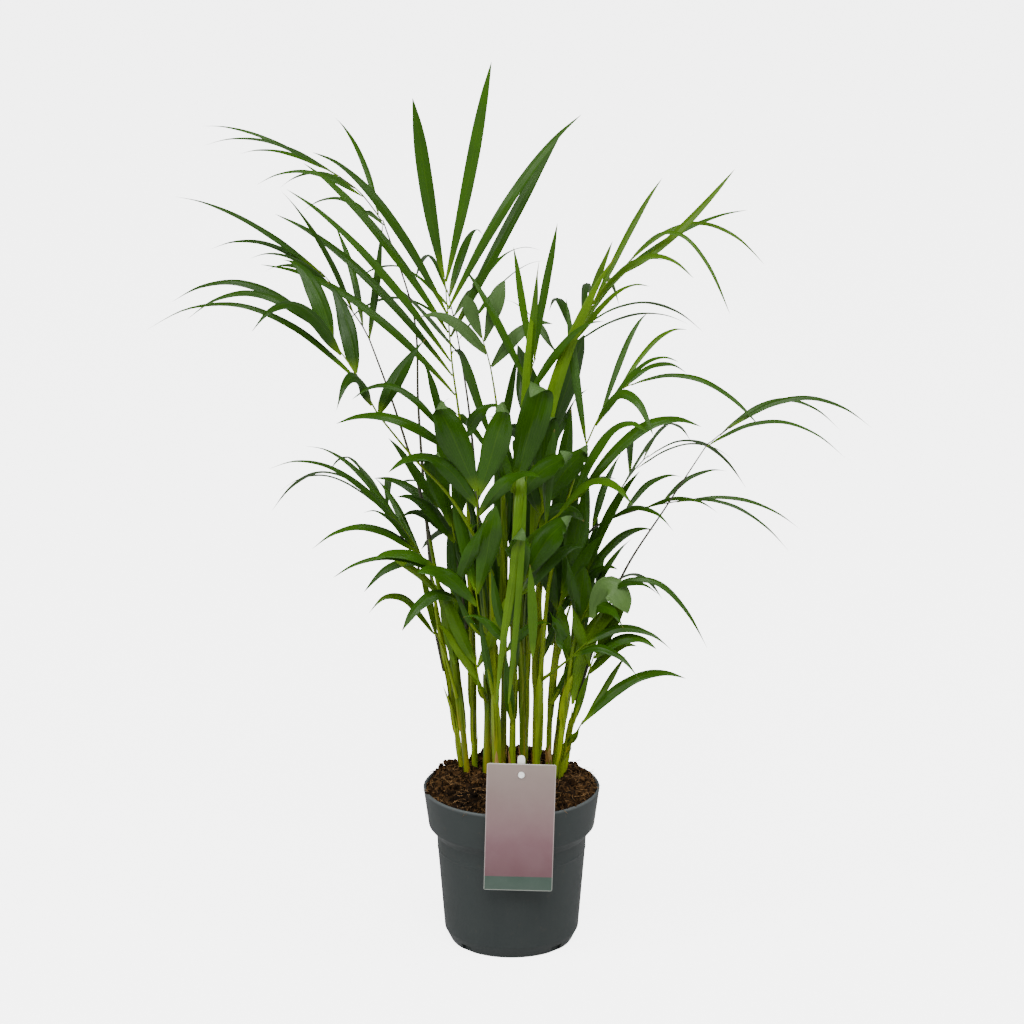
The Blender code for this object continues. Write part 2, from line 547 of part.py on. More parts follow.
# ---- plant ----
def placed(point):
    """A point of the tables, in metres."""
    return Vector(point) * MM * PLANT_SCALE + Vector((0, 0, POT_HEIGHT))


def smooth_path(points):
    """Points at even steps along a smooth curve through the given points."""
    spans = list(zip(points, points[1:]))
    slopes = [(points[min(i + 1, len(points) - 1)] - points[max(i - 1, 0)]) / 2 for i in range(len(points))]
    slopes[0] = (points[1] - points[0]) * 1.5 - slopes[1] / 2
    slopes[-1] = (points[-1] - points[-2]) * 1.5 - slopes[-2] / 2
    fine = []
    for i, (a, b) in enumerate(spans):
        for j in range(16):
            t = j / 16
            fine.append(
                a * (2 * t**3 - 3 * t**2 + 1) + slopes[i] * (t**3 - 2 * t**2 + t)
                + b * (3 * t**2 - 2 * t**3) + slopes[i + 1] * (t**3 - t**2)
            )
    fine.append(points[-1])
    walked = [0.0]
    for a, b in zip(fine, fine[1:]):
        walked.append(walked[-1] + (b - a).length)
    return fine, walked


def place_on(path, distance):
    """The point and direction at a distance along a path from smooth_path."""
    fine, walked = path
    distance = min(max(distance, 0.0), walked[-1])
    i = 0
    while i < len(fine) - 2 and walked[i + 1] < distance:
        i += 1
    share = (distance - walked[i]) / max(walked[i + 1] - walked[i], 1e-9)
    return fine[i].lerp(fine[i + 1], share), (fine[i + 1] - fine[i]).normalized()


def spiral(k):
    """The k-th small shift tried when a piece isn't clear: a golden-angle spiral."""
    angle = k * 2.39996
    return TRY_STEP * math.sqrt(k) * math.cos(angle), TRY_STEP * math.sqrt(k) * math.sin(angle)


def tree_of(points, faces):
    """A search tree of the faces, in millimetres, because crossings of very small triangles are missed."""
    return BVHTree.FromPolygons([Vector(p) / MM for p in points], faces)


class Grown:
    """Everything placed so far, to test each new piece against."""

    def __init__(self):
        self.trees = []

    def add(self, points, faces):
        self.trees.append(tree_of(points, faces))

    def clear_of(self, points, faces):
        tree = tree_of(points, faces)
        return not any(tree.overlap(other) for other in self.trees)


def tube_shape(path, radius_at, count):
    """A four-sided tube along a path, for testing."""
    rings = []
    for i in range(count):
        point, along = place_on(path, path[1][-1] * i / (count - 1))
        side = along.cross(FRONT).normalized()
        up = side.cross(along)
        r = radius_at(i / (count - 1))
        rings.append([point + (side * a + up * b) * r for a, b in ((1, 1), (1, -1), (-1, -1), (-1, 1))])
    points = [p for ring in rings for p in ring]
    faces = [(0, 1, 2, 3), tuple(4 * (count - 1) + i for i in (3, 2, 1, 0))]
    for i in range(count - 1):
        faces += [(4 * i + j, 4 * i + 4 + j, 4 * i + 4 + (j + 1) % 4, 4 * i + (j + 1) % 4) for j in range(4)]
    return points, faces


def grow_stem(name, points, foot_radius, top_radius, grown, collection, cutters, finish):
    foot_radius *= MM
    top_radius *= MM
    x, y, _ = points[0]
    surface = soil_height(x * MM, y * MM)
    for k in range(TRIES):
        dx, dy = spiral(k)
        shift = Vector((dx, dy, 0))
        route = [Vector((x * MM, y * MM, surface)), *[placed(p) + shift for p in points[1:]]]
        along = (route[1] - route[0]).normalized()
        foot = route[0] - along * SOCKET_DEPTH
        path = smooth_path([foot, *route])
        fat = (foot_radius + CLEARANCE) * 1.2
        if grown.clear_of(*tube_shape(path, lambda t: fat, 9)):
            break
    curve = bpy.data.curves.new(name, "CURVE")
    curve.dimensions = "3D"
    curve.bevel_depth = foot_radius
    curve.bevel_resolution = 1
    curve.use_fill_caps = True
    spline = curve.splines.new("POLY")
    stations = [0, SOCKET_DEPTH * 1.5] + [path[1][-1] * share for share in (0.35, 0.6, 0.8, 1.0)]
    spline.points.add(len(stations) - 1)
    for point, distance in zip(spline.points, stations):
        place, _ = place_on(path, distance)
        point.co = (*place, 1)
        point.radius = 1 + (top_radius / foot_radius - 1) * distance / path[1][-1]
    source = add_object(name, curve, collection)
    mesh = applied(source)
    bpy.data.objects.remove(source)
    bpy.data.curves.remove(curve)
    add_object(name, mesh, collection, finish)
    mesh.shade_smooth()
    grown.add([v.co for v in mesh.vertices], [tuple(p.vertices) for p in mesh.polygons])
    socket_cutter(f"{name}_socket", foot, along, foot_radius + 2 * GAP, cutters)
    return path, (foot_radius, top_radius)


def blade_share(t):
    """A leaflet's width along its length, as a share of its widest."""
    return min(1.0, 0.1 + 2.3 * t) * (1 - max(0.0, t - 0.4) ** 1.6 * 1.3)


def blade_ring(point, along, up, half_width, half_thickness):
    across = along.cross(up).normalized()
    w = across * half_width
    h = across.cross(along) * half_thickness
    return [point - w + h, point + w + h, point + w - h, point - w - h]


def blade_rings(root, outward, midrib_up, tip, arch, half_width, face, fatter, stations):
    """Rings of four points along a leaflet, which leaves the midrib outwards and arches over to its tip."""
    chord = tip - root
    lift = Vector((0, 0, arch * 4 / 3))
    near = root + chord / 3 + lift + outward * min(FOOT_PUSH, chord.length * FOOT_PUSH_SHARE)
    far = root + chord * 2 / 3 + lift
    rings = []
    for t in stations:
        s = 1 - t
        point = root * s**3 + near * 3 * s * s * t + far * 3 * s * t * t + tip * t**3
        along = ((near - root) * s * s + (far - near) * 2 * s * t + (tip - far) * t * t).normalized()
        up = midrib_up.lerp(face, min(1.0, t * 1.6))
        width = half_width * blade_share(t) + fatter
        rings.append(blade_ring(point, along, up, width, BLADE_THICKNESS / 2 * (1 - 0.4 * t) + fatter))
    return rings


def facing(ring):
    """The direction that a ring of four points winds about."""
    return (ring[2] - ring[0]).cross(ring[3] - ring[1])


def matched(ring, near_ring, reverse):
    """The ring's points, turned round if asked, in the order that meets the nearer ring with least twist."""
    if reverse:
        ring = [ring[0], ring[3], ring[2], ring[1]]
    turns = [ring[i:] + ring[:i] for i in range(4)]
    return min(turns, key=lambda turn: sum((a - b).length for a, b in zip(turn, near_ring)))


def sides_between(near, far):
    """Triangles that join two loops of four. Opposite sides split alike, so that a twist keeps its wall."""
    faces = []
    for q in range(4):
        a, b, c, d = near[q], near[(q + 1) % 4], far[(q + 1) % 4], far[q]
        faces += [(a, b, c), (a, c, d)] if q < 2 else [(a, b, d), (b, c, d)]
    return faces


def halves(quad):
    a, b, c, d = quad
    return [(a, b, c), (a, c, d)]


def drawn_out(loop, rings, tip, count):
    """The new points and triangles of a leaflet drawn out of a loop, where the mesh has count points."""
    points, faces = [], []
    for ring in rings:
        new = list(range(count + len(points), count + len(points) + 4))
        points += ring
        faces += sides_between(loop, new)
        loop = new
    points.append(tip)
    faces += [(loop[q], loop[(q + 1) % 4], count + len(points) - 1) for q in range(4)]
    return points, faces


def crossings(points, some, others):
    """Whether any of some faces meets another of them, or of the others, that shares no corner with it."""
    tree = tree_of(points, some)
    if any(not set(some[a]) & set(some[b]) for a, b in tree.overlap(tree)):
        return True
    return any(not set(some[a]) & set(others[b]) for a, b in tree.overlap(tree_of(points, others)))


def ring_shell(rings, tip):
    """A closed shape through the rings to the tip, for testing."""
    points = [p for ring in rings for p in ring] + [tip]
    faces = [(0, 1, 2, 3)]
    for i in range(len(rings) - 1):
        faces += sides_between([4 * i + q for q in range(4)], [4 * i + 4 + q for q in range(4)])
    end = 4 * (len(rings) - 1)
    faces += [(end + q, end + (q + 1) % 4, len(points) - 1) for q in range(4)]
    return points, faces


def grow_frond(name, design, stems, grown, collection, finish):
    stem_name, share, face, points, leaflets = design
    stem_path, (foot_radius, top_radius) = stems[stem_name]
    stem_length = stem_path[1][-1]
    face = face.normalized()
    route = [placed(p) for p in points]
    at, along = place_on(stem_path, stem_length * share)
    if share == 1.0:
        start = at + along * (GAP + MIDRIB_TIP_RADIUS)
    else:
        out = route[0] - at
        out = (out - along * out.dot(along)).normalized()
        stem_radius = foot_radius + (top_radius - foot_radius) * share
        start = at + out * (stem_radius * 1.08 + PETIOLE_RADIUS * 1.42 + GAP)

    # the stalk and midrib
    def radius_at(t):
        return PETIOLE_RADIUS + (MIDRIB_TIP_RADIUS - PETIOLE_RADIUS) * t

    for k in range(TRIES):
        dx, dy = spiral(k)
        shift = Vector((dx, dy, 0))
        moved = [p + shift * min(1.0, 0.5 + i * 0.5) for i, p in enumerate(route)]
        path = smooth_path([start, *moved])
        if grown.clear_of(*tube_shape(path, lambda t: radius_at(t) + CLEARANCE, 14)):
            break
    total = path[1][-1]
    backs = sorted({back for back, *_ in leaflets}, reverse=True)
    first = total - (backs[0] * PLANT_SCALE + 2) * MM - BLADE_FOOT
    plain = 4 if first > LONG_STALK else 3
    stations = [first * i / plain for i in range(plain)]
    foot_of = {}
    for back in backs:
        foot_of[back] = len(stations)
        distance = total - back * MM * PLANT_SCALE
        stations += [distance - BLADE_FOOT / 2, distance + BLADE_FOOT / 2]
    stations.append(total)

    vertices, frames = [], []
    for distance in stations:
        point, along = place_on(path, distance)
        side = along.cross(face).normalized()
        up = side.cross(along)
        r = radius_at(distance / total)
        frames.append((point, side, up, r))
        vertices += [point + (side * a + up * b) * r for a, b in ((1, 1), (1, -1), (-1, -1), (-1, 1))]
    last = len(stations) - 1
    faces = [*halves((0, 1, 2, 3)), *halves([4 * last + i for i in (3, 2, 1, 0)])]
    quads = {}
    for i in range(last):
        for j in range(4):
            quads[i, j] = (4 * i + j, 4 * i + 4 + j, 4 * i + 4 + (j + 1) % 4, 4 * i + (j + 1) % 4)

    # the leaflets, each drawn out of the face of the midrib that looks most towards its tip
    own = Grown()
    own.add(*ring_shell([vertices[4 * i:4 * i + 4] for i in range(last + 1)], frames[-1][0]))
    for back, tip, arch, half_width in leaflets:
        i = foot_of[back]
        _, side, up, r = frames[i]
        middle = (frames[i][0] + frames[i + 1][0]) / 2
        aim = placed(tip)
        chord = (aim - middle).normalized()
        ways = {0: side, 1: -up, 2: -side, 3: up}
        j = max((w for w in ways if (i, w) in quads), key=lambda w: ways[w].dot(chord))
        outward = ways[j]
        root = middle + outward * r
        length = (aim - root).length
        shares = (0.1, 0.3, 0.55, 0.8) if length > LONG_LEAFLET else (0.12, 0.4, 0.75)
        sideways = chord.cross(face).normalized()
        upward = sideways.cross(chord)
        loop = list(quads.pop((i, j)))
        foot = [vertices[v] for v in loop]
        foot_up = up if abs(outward.dot(up)) < 0.5 else side
        bud = blade_ring(root + outward * GAP, outward, foot_up, GAP, GAP)
        reverse = facing(foot).dot(outward) * facing(bud).dot(outward) < 0
        for k in range(TRIES):
            a, b = spiral(k)
            target = aim + sideways * a * 2 + upward * b * 2
            width = half_width * MM * BLADE_WIDTH_SCALE * (1 if k < TRIES // 2 else 0.7)
            shape = (root, outward, up, target, arch * MM * PLANT_SCALE, width, face)
            fat = blade_rings(*shape, CLEARANCE, shares)
            shell = ring_shell([matched(bud, fat[0], False), *fat], target)
            rings = []
            for ring in blade_rings(*shape, 0, shares):
                rings.append(matched(ring, rings[-1] if rings else foot, reverse))
            drawn_vertices, drawn_faces = drawn_out(loop, rings, target, len(vertices))
            joined = faces + [half for quad in quads.values() for half in halves(quad)]
            if (grown.clear_of(*shell) and own.clear_of(*shell)
                    and not crossings(vertices + drawn_vertices, drawn_faces, joined)):
                break
        own.add(*shell)
        vertices += drawn_vertices
        faces += drawn_faces
    faces += [half for quad in quads.values() for half in halves(quad)]
    mesh = mesh_from(name, vertices, faces)
    shape = bmesh.new()
    shape.from_mesh(mesh)
    bmesh.ops.recalc_face_normals(shape, faces=shape.faces)
    shape.to_mesh(mesh)
    shape.free()
    grown.add([v.co for v in mesh.vertices], [tuple(p.vertices) for p in mesh.polygons])
    return add_object(name, mesh, collection, finish)


def build():
    clear_scene()
    palm = new_collection("potted_palm")
    drains = new_collection("drain_cutters")
    sockets = new_collection("socket_cutters")
    grown = Grown()

    pot = build_pot(palm, drains)
    label = build_label(palm, sockets)
    for piece in [pot, *label]:
        mesh = applied(piece)
        mesh.transform(piece.matrix_world)
        grown.add([v.co for v in mesh.vertices], [tuple(p.vertices) for p in mesh.polygons])
        bpy.data.meshes.remove(mesh)

    cane = material("cane_green", CANE_GREEN, 0.45)
    leaf = material("leaf_green", GREEN, 0.4)
    stems = {}
    for name, (points, foot_radius, top_radius) in STEMS.items():
        stems[name] = grow_stem(name, points, foot_radius, top_radius, grown, palm, sockets, cane)
    build_soil(palm, sockets)
    for name, design in FRONDS.items():
        grow_frond(name, design, stems, grown, palm, leaf)


build()
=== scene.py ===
"""A young areca palm, a clump of seedlings in a nursery pot with a label, dressed over its CAD frame."""

import math

import bmesh
import bpy
import numpy as np
from mathutils import Matrix, Vector, noise


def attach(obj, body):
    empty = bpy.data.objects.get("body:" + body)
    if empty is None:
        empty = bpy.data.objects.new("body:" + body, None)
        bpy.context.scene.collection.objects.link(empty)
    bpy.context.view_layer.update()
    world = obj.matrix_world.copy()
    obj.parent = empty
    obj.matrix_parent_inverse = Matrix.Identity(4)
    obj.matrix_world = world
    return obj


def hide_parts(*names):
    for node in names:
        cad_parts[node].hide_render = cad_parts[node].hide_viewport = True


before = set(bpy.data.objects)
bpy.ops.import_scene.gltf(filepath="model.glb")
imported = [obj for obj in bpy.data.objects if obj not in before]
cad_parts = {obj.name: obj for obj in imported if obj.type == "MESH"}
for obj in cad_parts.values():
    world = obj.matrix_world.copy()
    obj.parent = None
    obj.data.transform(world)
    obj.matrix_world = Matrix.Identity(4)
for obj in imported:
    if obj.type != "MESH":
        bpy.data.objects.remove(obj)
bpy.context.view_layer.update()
scene = bpy.context.scene


# ---- camera ----
# A long lens at standing height, nearly three metres away, looking a little down on the pot.
CAMERA_PLACE = (0.0003, -2.6244, 1.0860)
CAMERA_TILT = math.radians(90 - 16.6)
CAMERA_LENS = 144.3
SENSOR_WIDTH = 36
FARTHEST_SEEN = 50

camera = bpy.data.objects.new("camera", bpy.data.cameras.new("camera"))
camera.data.lens = CAMERA_LENS
camera.data.sensor_width = SENSOR_WIDTH
camera.data.clip_end = FARTHEST_SEEN
camera.location = CAMERA_PLACE
camera.rotation_euler = (CAMERA_TILT, 0, 0)
scene.collection.objects.link(camera)
scene.camera = camera


# ---- studio ----
# A sweep of pale paper in a pale room, lit by three soft boxes. The camera sees the paper and the room nearly
# white, while they throw only a little light on the palm.
FLOOR_HALF = 12.0
PAPER_GREY = (0.58, 0.58, 0.58, 1)
PAPER_WHITE = (0.97, 0.97, 0.97, 1)
PAPER_BOUNCE = (0.03, 0.03, 0.03, 1)
PAPER_GLOW = 5.0
ROOM_COLOUR = (1.0, 1.0, 1.0, 1)
ROOM_STRENGTH = 0.34
ROOM_SEEN = 4.8
SOFT_BOXES = {
    "top_box": {"place": (0.1, -1.5, 2.3), "aim": (0, 0, 0.25), "size": 1.6, "watts": 88},
    "left_box": {"place": (-2.2, -1.2, 1.5), "aim": (0, 0, 0.3), "size": 1.2, "watts": 52},
    "right_box": {"place": (2.2, -0.6, 1.8), "aim": (0, 0, 0.3), "size": 1.2, "watts": 36},
}


class Wiring:
    """A node tree that is wired up in plain calls."""

    def __init__(self, tree):
        self.tree = tree

    def node(self, kind, settings=None, **values):
        """A new node. Each value goes to the socket of its name, or of its number, as in _0."""
        made = self.tree.nodes.new(kind)
        for key, value in (settings or {}).items():
            setattr(made, key, value)
        for key, value in values.items():
            numbered = key.startswith("_")
            self.feed(made.inputs[int(key[1:]) if numbered else key.replace("_", " ")], value)
        return made

    def feed(self, socket, value):
        if isinstance(value, bpy.types.NodeSocket):
            self.tree.links.new(value, socket)
        else:
            socket.default_value = value

    def math(self, how, a, b=0.0, c=0.0, clamp=False):
        made = self.node("ShaderNodeMath", {"operation": how, "use_clamp": clamp}, _0=a, _1=b, _2=c)
        return made.outputs[0]

    def ramp(self, value, low, high, a=0.0, b=1.0):
        """Goes from a to b as the value goes from low to high, and stays there."""
        made = self.node("ShaderNodeMapRange", Value=value, From_Min=low, From_Max=high, To_Min=a, To_Max=b)
        return made.outputs[0]

    def mixed(self, factor, a, b):
        """A blend of two colours, by the numbers of the Mix node's colour sockets."""
        return self.node("ShaderNodeMix", {"data_type": "RGBA"}, _0=factor, _6=a, _7=b).outputs[2]

    def noise(self, where, scale, detail=3.0, roughness=0.55):
        made = self.node("ShaderNodeTexNoise", Vector=where, Scale=scale, Detail=detail, Roughness=roughness)
        return made.outputs[0]

    def parts(self, vector):
        return self.node("ShaderNodeSeparateXYZ", Vector=vector).outputs


class Finish(Wiring):
    """A material that is wired up in plain calls, from the constants that are the same all over it."""

    def __init__(self, name, **constants):
        self.material = bpy.data.materials.new(name)
        self.material.use_nodes = True
        super().__init__(self.material.node_tree)
        self.dress(**constants)

    def dress(self, **values):
        """Feeds constants or sockets to the Principled shader."""
        skin = self.tree.nodes["Principled BSDF"]
        for key, value in values.items():
            self.feed(skin.inputs[key.replace("_", " ")], value)

    def own_place(self):
        return self.node("ShaderNodeTexCoord").outputs["Object"]

    def stretched(self, where, scale):
        return self.node("ShaderNodeMapping", Vector=where, Scale=scale).outputs[0]

    def attribute(self, name):
        return self.node("ShaderNodeAttribute", {"attribute_name": name}).outputs["Fac"]

    def bump(self, height, strength, distance):
        return self.node("ShaderNodeBump", Strength=strength, Distance=distance, Height=height).outputs[0]


paper = Finish("studio_paper", Base_Color=PAPER_GREY, Roughness=0.9, Specular_IOR_Level=0.1,
               Emission_Strength=PAPER_GLOW)
seen = paper.node("ShaderNodeLightPath").outputs["Is Camera Ray"]
paper.dress(Emission_Color=paper.mixed(seen, PAPER_BOUNCE, PAPER_WHITE))
sweep = bpy.data.meshes.new("studio_floor")
corners = [(x * FLOOR_HALF, y * FLOOR_HALF, 0) for x, y in ((-1, -1), (1, -1), (1, 1), (-1, 1))]
sweep.from_pydata(corners, [], [(0, 1, 2, 3)])
floor = bpy.data.objects.new("studio_floor", sweep)
floor.data.materials.append(paper.material)
scene.collection.objects.link(floor)

room = bpy.data.worlds.new("studio_room")
room.use_nodes = True
air = Wiring(room.node_tree)
seen = air.node("ShaderNodeLightPath").outputs["Is Camera Ray"]
background = room.node_tree.nodes["Background"]
air.feed(background.inputs["Color"], ROOM_COLOUR)
air.feed(background.inputs["Strength"], air.ramp(seen, 0, 1, ROOM_STRENGTH, ROOM_SEEN))
scene.world = room

for name, box in SOFT_BOXES.items():
    lamp = bpy.data.objects.new(name, bpy.data.lights.new(name, "AREA"))
    lamp.data.shape = "SQUARE"
    lamp.data.size = box["size"]
    lamp.data.energy = box["watts"]
    lamp.location = box["place"]
    aim = Vector(box["aim"]) - Vector(box["place"])
    lamp.rotation_euler = aim.to_track_quat("-Z", "Y").to_euler()
    scene.collection.objects.link(lamp)


# ---- pot ----
# An injection-moulded nursery pot in dark slate polypropylene: one thin wall, a deep rolled band for stacking,
# a tapered body with a fine parting ring, and a stepped foot with four drain notches. Its outline has close
# points beside each edge, which keep the edge crisp and the walls between evenly shaded.
POT_TURN_STEPS = 160
POT_OUTSIDE = [
    (0.0590, 0.1100), (0.0596, 0.1098), (0.0600, 0.1092), (0.05985, 0.1075), (0.0597, 0.1066),
    (0.0595, 0.1055), (0.0567, 0.0846), (0.0566, 0.0838), (0.0563, 0.0828), (0.0558, 0.0822),
    (0.0513, 0.0767), (0.0510, 0.0760), (0.05092, 0.0750), (0.05088, 0.0742), (0.05056, 0.0682),
    (0.0505, 0.0673), (0.05065, 0.0668), (0.05065, 0.0662), (0.0504, 0.0658), (0.0503, 0.0648),
    (0.0460, 0.0112), (0.0459, 0.0098), (0.0457, 0.0086), (0.0452, 0.0077), (0.0420, 0.0012),
    (0.0414, 0.0003), (0.0406, 0.0000), (0.0385, 0.0000), (0.0378, 0.0006), (0.0200, 0.0008),
    (0.0, 0.0008),
]
POT_INSIDE = [
    (0.0, 0.0020), (0.0395, 0.0020), (0.0440, 0.0090), (0.0492, 0.0760), (0.0547, 0.0836),
    (0.0580, 0.1086), (0.0584, 0.1097),
]
DRAIN_NOTCHES = 4
DRAIN_NOTCH = (0.010, 0.009, 0.010)
DRAIN_RADIUS = 0.0455
POT_SHARP_ANGLE = math.radians(35)
POT_SLATE = (0.0210, 0.0262, 0.0256, 1)
POT_WORN = (0.037, 0.042, 0.040, 1)
# A paler colour painted round the top of the rolled lip, a painted highlight where the light catches the rim,
# and the heights that it spans.
POT_LIP_HIGHLIGHT = (0.075, 0.085, 0.085, 1)
POT_LIP_HIGHLIGHT_HEIGHTS = (0.1078, 0.1094)
POT_DUST = (0.10, 0.070, 0.045, 1)
POT_DUST_HEIGHTS = (0.078, 0.110)


def new_object(name, mesh, material=None):
    made = bpy.data.objects.new(name, mesh)
    scene.collection.objects.link(made)
    if material:
        made.data.materials.append(material)
    return made


def turned_shell(name, profile, steps):
    """A closed body of turning about Z from a profile that starts and ends on the axis."""
    shape = bmesh.new()
    points = [shape.verts.new((r, 0, z)) for r, z in profile]
    edges = [shape.edges.new(pair) for pair in zip(points, points[1:])]
    bmesh.ops.spin(
        shape, geom=points + edges, cent=(0, 0, 0), axis=(0, 0, 1), dvec=(0, 0, 0), angle=math.tau,
        steps=steps, use_duplicate=False,
    )
    bmesh.ops.remove_doubles(shape, verts=shape.verts, dist=1e-6)
    bmesh.ops.recalc_face_normals(shape, faces=shape.faces)
    mesh = bpy.data.meshes.new(name)
    shape.to_mesh(mesh)
    shape.free()
    return mesh


def drain_blocks():
    """The blocks that cut the drain notches, evenly round the foot."""
    shape = bmesh.new()
    for i in range(DRAIN_NOTCHES):
        block = bmesh.ops.create_cube(shape, size=1)["verts"]
        turn = Matrix.Rotation(math.tau * (i + 0.5) / DRAIN_NOTCHES, 3, "Z")
        bmesh.ops.scale(shape, vec=DRAIN_NOTCH, verts=block)
        bmesh.ops.translate(shape, vec=(DRAIN_RADIUS, 0, 0), verts=block)
        bmesh.ops.rotate(shape, matrix=turn, verts=block)
    mesh = bpy.data.meshes.new("drain_notches")
    shape.to_mesh(mesh)
    shape.free()
    return mesh


def plain_mesh_of(made):
    """The object with its evaluated mesh for its own, and its modifiers taken off."""
    bpy.context.view_layer.update()
    graph = bpy.context.evaluated_depsgraph_get()
    mesh = bpy.data.meshes.new_from_object(made.evaluated_get(graph), depsgraph=graph)
    mesh.name = made.name
    made.modifiers.clear()
    made.data = mesh
    return made


# Grain: the fine pitting and the mottle that every surface here has, each at its own scale.
grain_group = bpy.data.node_groups.new("surface_grain", "ShaderNodeTree")
for label, kind in (("Place", "Vector"), ("Scale", "Float"), ("Blotch", "Float")):
    grain_group.interface.new_socket(name=label, in_out="INPUT", socket_type="NodeSocket" + kind)
for label in ("Grain", "Mottle"):
    grain_group.interface.new_socket(name=label, in_out="OUTPUT", socket_type="NodeSocketFloat")
speckle = Wiring(grain_group)
given = speckle.node("NodeGroupInput").outputs
shown = speckle.node("NodeGroupOutput").inputs
speckle.feed(shown["Grain"], speckle.noise(given["Place"], given["Scale"], 2.0))
speckle.feed(shown["Mottle"], speckle.ramp(speckle.noise(given["Place"], given["Blotch"], 4.0), 0.35, 0.65))


def grain_and_mottle(finish, place, scale, blotch):
    made = finish.node("ShaderNodeGroup", {"node_tree": grain_group}, Place=place, Scale=scale, Blotch=blotch)
    return made.outputs["Grain"], made.outputs["Mottle"]


plastic = Finish("pot_plastic", Specular_IOR_Level=0.2)
place = plastic.own_place()
grain, mottle = grain_and_mottle(plastic, place, 1400.0, 38.0)
height = plastic.parts(place)["Z"]
streaks = plastic.noise(plastic.stretched(place, (1, 1, 0.06)), 420.0)
rub = plastic.math("MULTIPLY", plastic.ramp(streaks, 0.45, 0.75), 0.08)
dust = plastic.math("MULTIPLY", plastic.ramp(plastic.noise(place, 160.0, 6.0, 0.7), 0.60, 0.70),
                    plastic.ramp(height, *POT_DUST_HEIGHTS, 0.15, 0.75))
colour = plastic.mixed(rub, POT_SLATE, POT_WORN)
colour = plastic.mixed(plastic.math("MULTIPLY", mottle, 0.25), colour, POT_WORN)
# The top of the lip is painted paler: a painted highlight along the rim.
colour = plastic.mixed(plastic.ramp(height, *POT_LIP_HIGHLIGHT_HEIGHTS, 0, 0.8), colour, POT_LIP_HIGHLIGHT)
plastic.dress(
    Base_Color=plastic.mixed(plastic.math("MULTIPLY", dust, 0.6), colour, POT_DUST),
    Roughness=plastic.ramp(mottle, 0, 1, 0.5, 0.62),
    Normal=plastic.bump(grain, 0.25, 0.0002),
)

shell = turned_shell("pot_shell", POT_INSIDE + POT_OUTSIDE, POT_TURN_STEPS)
pot = new_object("pot_shell", shell, plastic.material)
notch_tool = new_object("drain_notches", drain_blocks())
cut = pot.modifiers.new("drain", "BOOLEAN")
cut.object = notch_tool
cut.operation = "DIFFERENCE"
cut.solver = "EXACT"
plain_mesh_of(pot)
bpy.data.objects.remove(notch_tool)
pot.data.shade_smooth()
pot.data.set_sharp_from_angle(angle=POT_SHARP_ANGLE)
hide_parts("pot")
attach(pot, "root")


# ---- soil ----
# Peat and coir potting mix: a lumpy bed filled to just under the rim and heaped in the middle, soaked in one
# place at the front, with crumbs of peat and light coir fibres lying loose on it.
SOIL_RADIUS = 0.0575
SOIL_EDGE_HEIGHT = 0.1085
SOIL_CROWN = 0.0062
SOIL_HEAP = 0.008
SOIL_HEAP_PLACE = Vector((0.006, 0.036, 0))
SOIL_HEAP_SPREAD = 0.020
SOIL_LUMPS = ((0.0044, 75), (0.0034, 190), (0.0016, 480))
SOIL_BOTTOM = 0.070
SOIL_BOTTOM_RADIUS = 0.0478
SOIL_RINGS = 64
SOIL_SPOKES = 160
CRUMB_SIZE = 0.0044
CRUMB_DENSITY = 120000.0
CRUMB_SIZES = (0.15, 1.0)
CRUMB_FLATTEST = (0.6, 0.4, 0.3)
CRUMB_ROUNDEST = (1.3, 0.9, 0.7)
FIBRE_LENGTH = 0.012
FIBRE_THICKNESS = 0.00013
FIBRE_DENSITY = 60000.0
FIBRE_LENGTHS = (0.25, 1.0)
FIBRE_TILT = (0.7, 0.5)
PEAT_DARK = (0.0018, 0.0009, 0.0003, 1)
PEAT_BROWN = (0.016, 0.0072, 0.0018, 1)
PEAT_LIGHT = (0.078, 0.039, 0.013, 1)
COIR = (0.26, 0.145, 0.056, 1)
WET_PLACE = (-0.031, -0.036, 0.112)
WET_NEAR = 0.009
WET_FAR = 0.019


def soil_at(x, y):
    """The height of the bed's surface."""
    out = min(1.0, math.hypot(x, y) / SOIL_RADIUS)
    place = Vector((x, y, 0))
    heap = SOIL_HEAP * math.exp(-((place - SOIL_HEAP_PLACE).length / SOIL_HEAP_SPREAD) ** 2) * (1 - out**6)
    lumps = sum(size * noise.noise(place * fineness) for size, fineness in SOIL_LUMPS)
    return SOIL_EDGE_HEIGHT + SOIL_CROWN * (1 - out**12) + heap + lumps * (1 - 0.3 * out**8)


def bed_shape():
    """The bed's points and faces: its top as rings from the middle out, then its side, bottom and middle."""
    points = []
    for i in range(1, SOIL_RINGS + 1):
        for j in range(SOIL_SPOKES):
            r = SOIL_RADIUS * i / SOIL_RINGS
            a = math.tau * (j + 0.5 * (i % 2)) / SOIL_SPOKES
            points.append((r * math.cos(a), r * math.sin(a), soil_at(r * math.cos(a), r * math.sin(a))))
    share = SOIL_BOTTOM_RADIUS / SOIL_RADIUS
    points += [(x * share, y * share, SOIL_BOTTOM) for x, y, _ in points[-SOIL_SPOKES:]]
    points.append((0, 0, soil_at(0, 0)))
    faces = []
    for i in range(SOIL_RINGS):
        ring = i * SOIL_SPOKES
        for j in range(SOIL_SPOKES):
            k = (j + 1) % SOIL_SPOKES
            faces.append((ring + j, ring + SOIL_SPOKES + j, ring + SOIL_SPOKES + k, ring + k))
    faces.append(tuple(SOIL_RINGS * SOIL_SPOKES + j for j in reversed(range(SOIL_SPOKES))))
    faces += [(len(points) - 1, j, (j + 1) % SOIL_SPOKES) for j in range(SOIL_SPOKES)]
    return points, faces


def wetted(finish, place, colour):
    """The colour, darkened where the peat is soaked."""
    away = finish.node("ShaderNodeVectorMath", {"operation": "DISTANCE"}, _0=place, _1=WET_PLACE)
    return finish.mixed(finish.ramp(away.outputs["Value"], WET_FAR, WET_NEAR, 0, 0.8), colour, PEAT_DARK)


